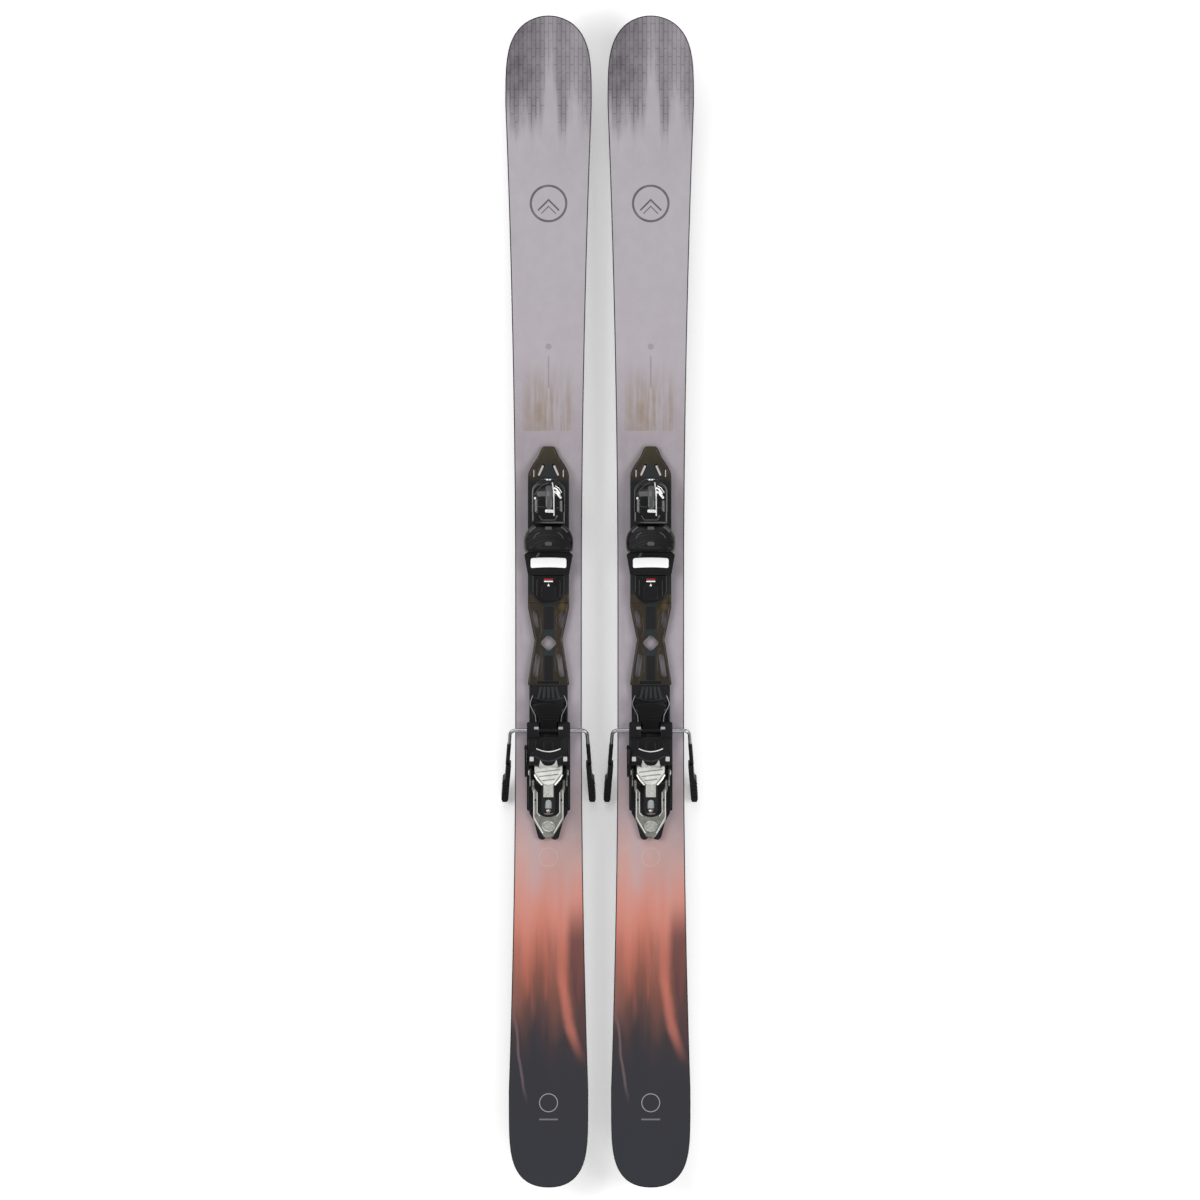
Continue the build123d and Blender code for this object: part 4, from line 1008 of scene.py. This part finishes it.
def sheet(across, back, front, lift, below, above):
    """A sheet cut between a back and a front edge, each given at places across it. It follows
    a height along the ski, with a thickness below and above that height."""
    across = np.asarray(across, float)
    fine = np.unique(np.concatenate([np.linspace(across[0], across[-1], 61), across]))
    back = np.interp(fine, across, back)[:, None]
    front = np.interp(fine, across, front)[:, None]
    share = np.linspace(0, 1, 33)[None, :]
    y = back + (front - back) * share
    level = lift(y)
    y = np.concatenate([y, y[:, ::-1]], axis=1)
    z = np.concatenate([level + above, level[:, ::-1] - below], axis=1)
    return loft(np.stack([np.broadcast_to(fine[:, None], y.shape), y, z], -1))


def crown_lift(y):
    """The crown lies on the rocker's plate, then climbs the back of the cup on to its top."""
    return np.interp(y, [-292, -253, -229, -227.4, -220.4, -200], [59, 50, 44.7, 49.8, 57, 57])


# rocker: the bright crown with its ribs, two diagonal bars, and the cup's lip, brow and ends
crown_x = np.array([0, 5.0, 8.0, 10.0, 11.2, 12.2, 13.4, 17.0, 19.0])
crown_front = [-226.6, -226.0, -223.6, -220.4, -218.6, -222.8, -228.6, -227.4, -228.4]
crown_back = [-252.8, -252.2, -250.6, -247.4, -245.6, -244.4, -242.9, -238.2, -235.4]
crown = sheet(
    np.concatenate([-crown_x[:0:-1], crown_x]),
    crown_back[:0:-1] + crown_back,
    crown_front[:0:-1] + crown_front,
    crown_lift,
    0.9,
    0.9,
)
solid("crown_plate", crown, satin_silver, "rocker_body")
crown_ribs = []
for y, end_x in ((-246.0, 8.5), (-239.8, 13.5), (-233.6, 16.5)):
    x = np.linspace(-end_x, end_x, 9)
    path = np.column_stack([x, y + 0.12 * x, np.full(9, plate_top(y) + 1.4)])
    crown_ribs.append(bar(path, 1.0, 0.7))
solid("crown_ribs", joined(*crown_ribs), lever_silver, "rocker_body")
diagonal = along_line(
    (19.4, -238.4, plate_top(-238.4) + 1.0),
    (15.6, -245.2, plate_top(-245.2) + 1.4),
    (8.4, -253.4, plate_top(-253.4) + 1.4),
)
solid("plate_bars", both_ways(bar(diagonal, 2.6, 1.7)), polished_and_reflection, "rocker_body")
lip_turn = np.linspace(-1, 1, 25)
lip_y = -207.0 + 4.2 * lip_turn**2
lip = np.column_stack([16.8 * lip_turn, lip_y, np.full(25, 56.6)])
solid("cup_lip", bar(lip, 1.5, 1.0), polished_and_reflection, "rocker_body")
brow_x = np.linspace(-19.5, 19.5, 25)
brow_front = -206.6 + 3.6 * (brow_x / 16.8) ** 2
brow = sheet(brow_x, np.full(25, -212.5), brow_front, np.zeros_like, -52.6, 56.6)
solid("cup_brow", brow, dark_shell, "rocker_body")
cup_ends = both_ways(pillow(rounded(5.6, 6.4, 1.0, 23.2, -217.2), 56.4, 58.2, 0.6))
solid("cup_ends", cup_ends, window_glaze, "rocker_body")
cup_rib = along_line((19, -213.2, 57.1), (9, -218.6, 57.1), (0, -220.4, 57.1))
solid("cup_ribs", both_ways(bar(cup_rib, 2.0, 0.9)), rail_grey, "rocker_body")

# side links join the heel pin to the lever's pin, outside the carriage's ears
link_axis = (lever_pin - heel_pin) / np.linalg.norm(lever_pin - heel_pin)
link_facing = np.array([-link_axis[1], link_axis[0]])
link_turn = full_turn(40)[:, None]
circle = np.cos(link_turn) * link_axis + np.sin(link_turn) * link_facing
nearer = np.where(np.cos(link_turn) > 0, lever_pin, heel_pin)
link_rings = [
    np.column_stack([np.full(40, x), nearer + circle * radius])
    for x, radius in ((24.4, 4.6), (24.4, 5.2), (25.9, 5.2), (26.3, 4.8))
]
side_links = both_ways(loft(np.array(link_rings)))
solid("side_links", side_links, lever_silver, "rocker_body")


def laid(shape, pivot, slope, heading):
    """A shape drawn flat, as across, out from a pivot and above a face, laid on to the face. The
    face slopes up as it runs out, forward for a heading of 1 and backward for -1."""
    points, faces = shape
    across, out, above = np.asarray(points, float).T
    y = pivot[0] + heading * (out * np.cos(slope) - above * np.sin(slope))
    z = pivot[1] + out * np.sin(slope) + above * np.cos(slope)
    return np.column_stack([across, y, z]), faces


def on_lever(shape):
    """A shape laid on to the face of the heel lever."""
    return laid(shape, lever_pin, np.radians(35), -1)


# lever: the dish for a pole's tip with its ribs, bright edges to the fork, and two studs
dish_out = 75
dish_profile = [(9.6, 2.2), (9.2, 3.4), (7.8, 3.8), (6.9, 3.2), (6.5, 1.4), (5.2, 0.9)]
sideways, out, above = turned(dish_profile, 48)
dish = loft(np.stack([sideways, dish_out + out, above], -1))
dish_ribs = []
for angle in np.radians([20, 55, 90, 125, 160, 200, 340]):
    outer, inner = ((r * np.cos(angle), dish_out + r * np.sin(angle)) for r in (10.4, 6.9))
    dish_ribs.append(bar([(*outer, 2.5), (*inner, 3.6)], 1.1, 0.8))
solid("lever_dish", on_lever(joined(dish, *dish_ribs)), neck_silver, "lever_body")
prong_edge = along_line((20.0, 14, 2.4), (20.0, 60, 2.4), (7.4, 86.5, 2.4))
prong_inner = along_line((15.6, 18, 2.4), (15.6, 52, 2.4), (11.6, 58, 2.4))
prong_lines = both_ways(joined(bar(prong_edge, 1.4, 0.9), bar(prong_inner, 1.1, 0.8)))
solid("lever_edges", on_lever(prong_lines), polished_and_reflection, "lever_body")
studs = both_ways(pillow(rounded(2.6, 3.4, 1.1, 18.0, 31.0), 2.2, 3.1, 0.3))
solid("lever_studs", on_lever(studs), gloss_black, "lever_body")


# ======================================== brake
# A bent steel wire carries two black plastic feet and a tread pad. The boot's heel
# presses the pad down and lifts the feet beside the ski.

foot_black = moulded("foot_black", "0A0A0B", "141416", 0.45)
refined("brake_arms", edge_steel)
refined("brake_feet", foot_black, 0.9)
refined("brake_pedal", tread_black, 0.7)

brake_axle = (-177.8, 13.4)


def on_brake(shape):
    """A shape laid on to the plane of the brake's wire, its arms running down and back."""
    return laid(shape, brake_axle, np.radians(36), 1)


# sleeves round the arms, drawn in at both ends; an arm leans outward as it runs back
arm_x, arm_lean = 53.0, 7.5 / 116
sleeve_profile = [(2.52, 22), (2.7, 22), (2.85, 22.6), (2.85, 40), (2.85, 57), (2.52, 57)]
sideways, above, back = turned(sleeve_profile, 24)
sleeve = loft(np.stack([arm_x + arm_lean * back + sideways, -back, above], -1))
solid("brake_sleeves", on_brake(both_ways(sleeve)), foot_black, "brake_body")
foot_face = 7.4
foot_grips = [
    bar([(56.8, s, foot_face), (64.0 + (s + 110) * 0.02, s, foot_face)], 1.6, 0.9, 0.6)
    for s in (-110, -104, -98, -92, -86)
]
foot_ridge = bar([(57.6, -82, foot_face), (56.6, -62, foot_face)], 1.6, 0.8)
feet_details = joined(*foot_grips, foot_ridge)
solid("foot_grips", on_brake(both_ways(feet_details)), foot_black, "brake_body")
pad_face = 2.1
tread_rows = [(20.0, 9.0), (25.5, 11.6), (31.0, 14.2), (36.5, 16.8), (41.5, 18.2)]
treads = [bar([(-w, s, pad_face), (w, s, pad_face)], 2.4, 0.9, 0.7, 0.5) for s, w in tread_rows]
solid("pedal_treads", on_brake(joined(*treads)), tread_black, "brake_body")


# ======================================== floor, light and camera
# A pale seamless floor, broad soft lights, and a long lens straight above the skis.

floor_finish, place, shader = start_finish(
    "pale_floor", Roughness=0.9, Emission_Color=(1.0, 1.0, 1.0, 1.0), Emission_Strength=0.27
)
paper = place.noise(4, 2)
connect(shader, Base_Color=paper.blend("F4F4F4", "F8F8F8"))
floor_mesh = bpy.data.meshes.new("floor")
reach = 12.0
corners = [(-reach, -reach, 0), (reach, -reach, 0), (reach, reach, 0), (-reach, reach, 0)]
floor_mesh.from_pydata(corners, [], [(0, 1, 2, 3)])
floor_mesh.materials.append(floor_finish)
floor = new_object("floor", floor_mesh)


def soft_light(name, position, size, power):
    """A square area light aimed at the middle of the skis."""
    lamp = bpy.data.lights.new(name, "AREA")
    lamp.size = size
    lamp.energy = power
    light = new_object(name, lamp)
    light.location = position
    light.rotation_euler = (-Vector(position)).to_track_quat("-Z", "Y").to_euler()


soft_light("left_softbox", (-3.0, 0.6, 3.8), 2.4, 102)
soft_light("right_softbox", (3.0, -0.4, 3.8), 2.4, 92)
soft_light("tip_softbox", (-0.8, 3.4, 3.4), 2.4, 58)
soft_light("tail_softbox", (0.8, -3.4, 3.4), 2.4, 52)
world = bpy.data.worlds.new("studio")
world.use_nodes = True
sky = world.node_tree.nodes["Background"]
sky.inputs["Color"].default_value = (1.0, 1.0, 1.0, 1.0)
sky.inputs["Strength"].default_value = 0.31
bpy.context.scene.world = world
bpy.context.scene.view_settings.view_transform = "Standard"

camera_height = 45.0
view_width = 1.6596
lens = bpy.data.cameras.new("camera")
lens.sensor_width = 36.0
lens.lens = lens.sensor_width * (camera_height - deck) / view_width
camera = new_object("camera", lens)
camera.location = (0.0005, 0.0025, camera_height)
bpy.context.scene.camera = camera
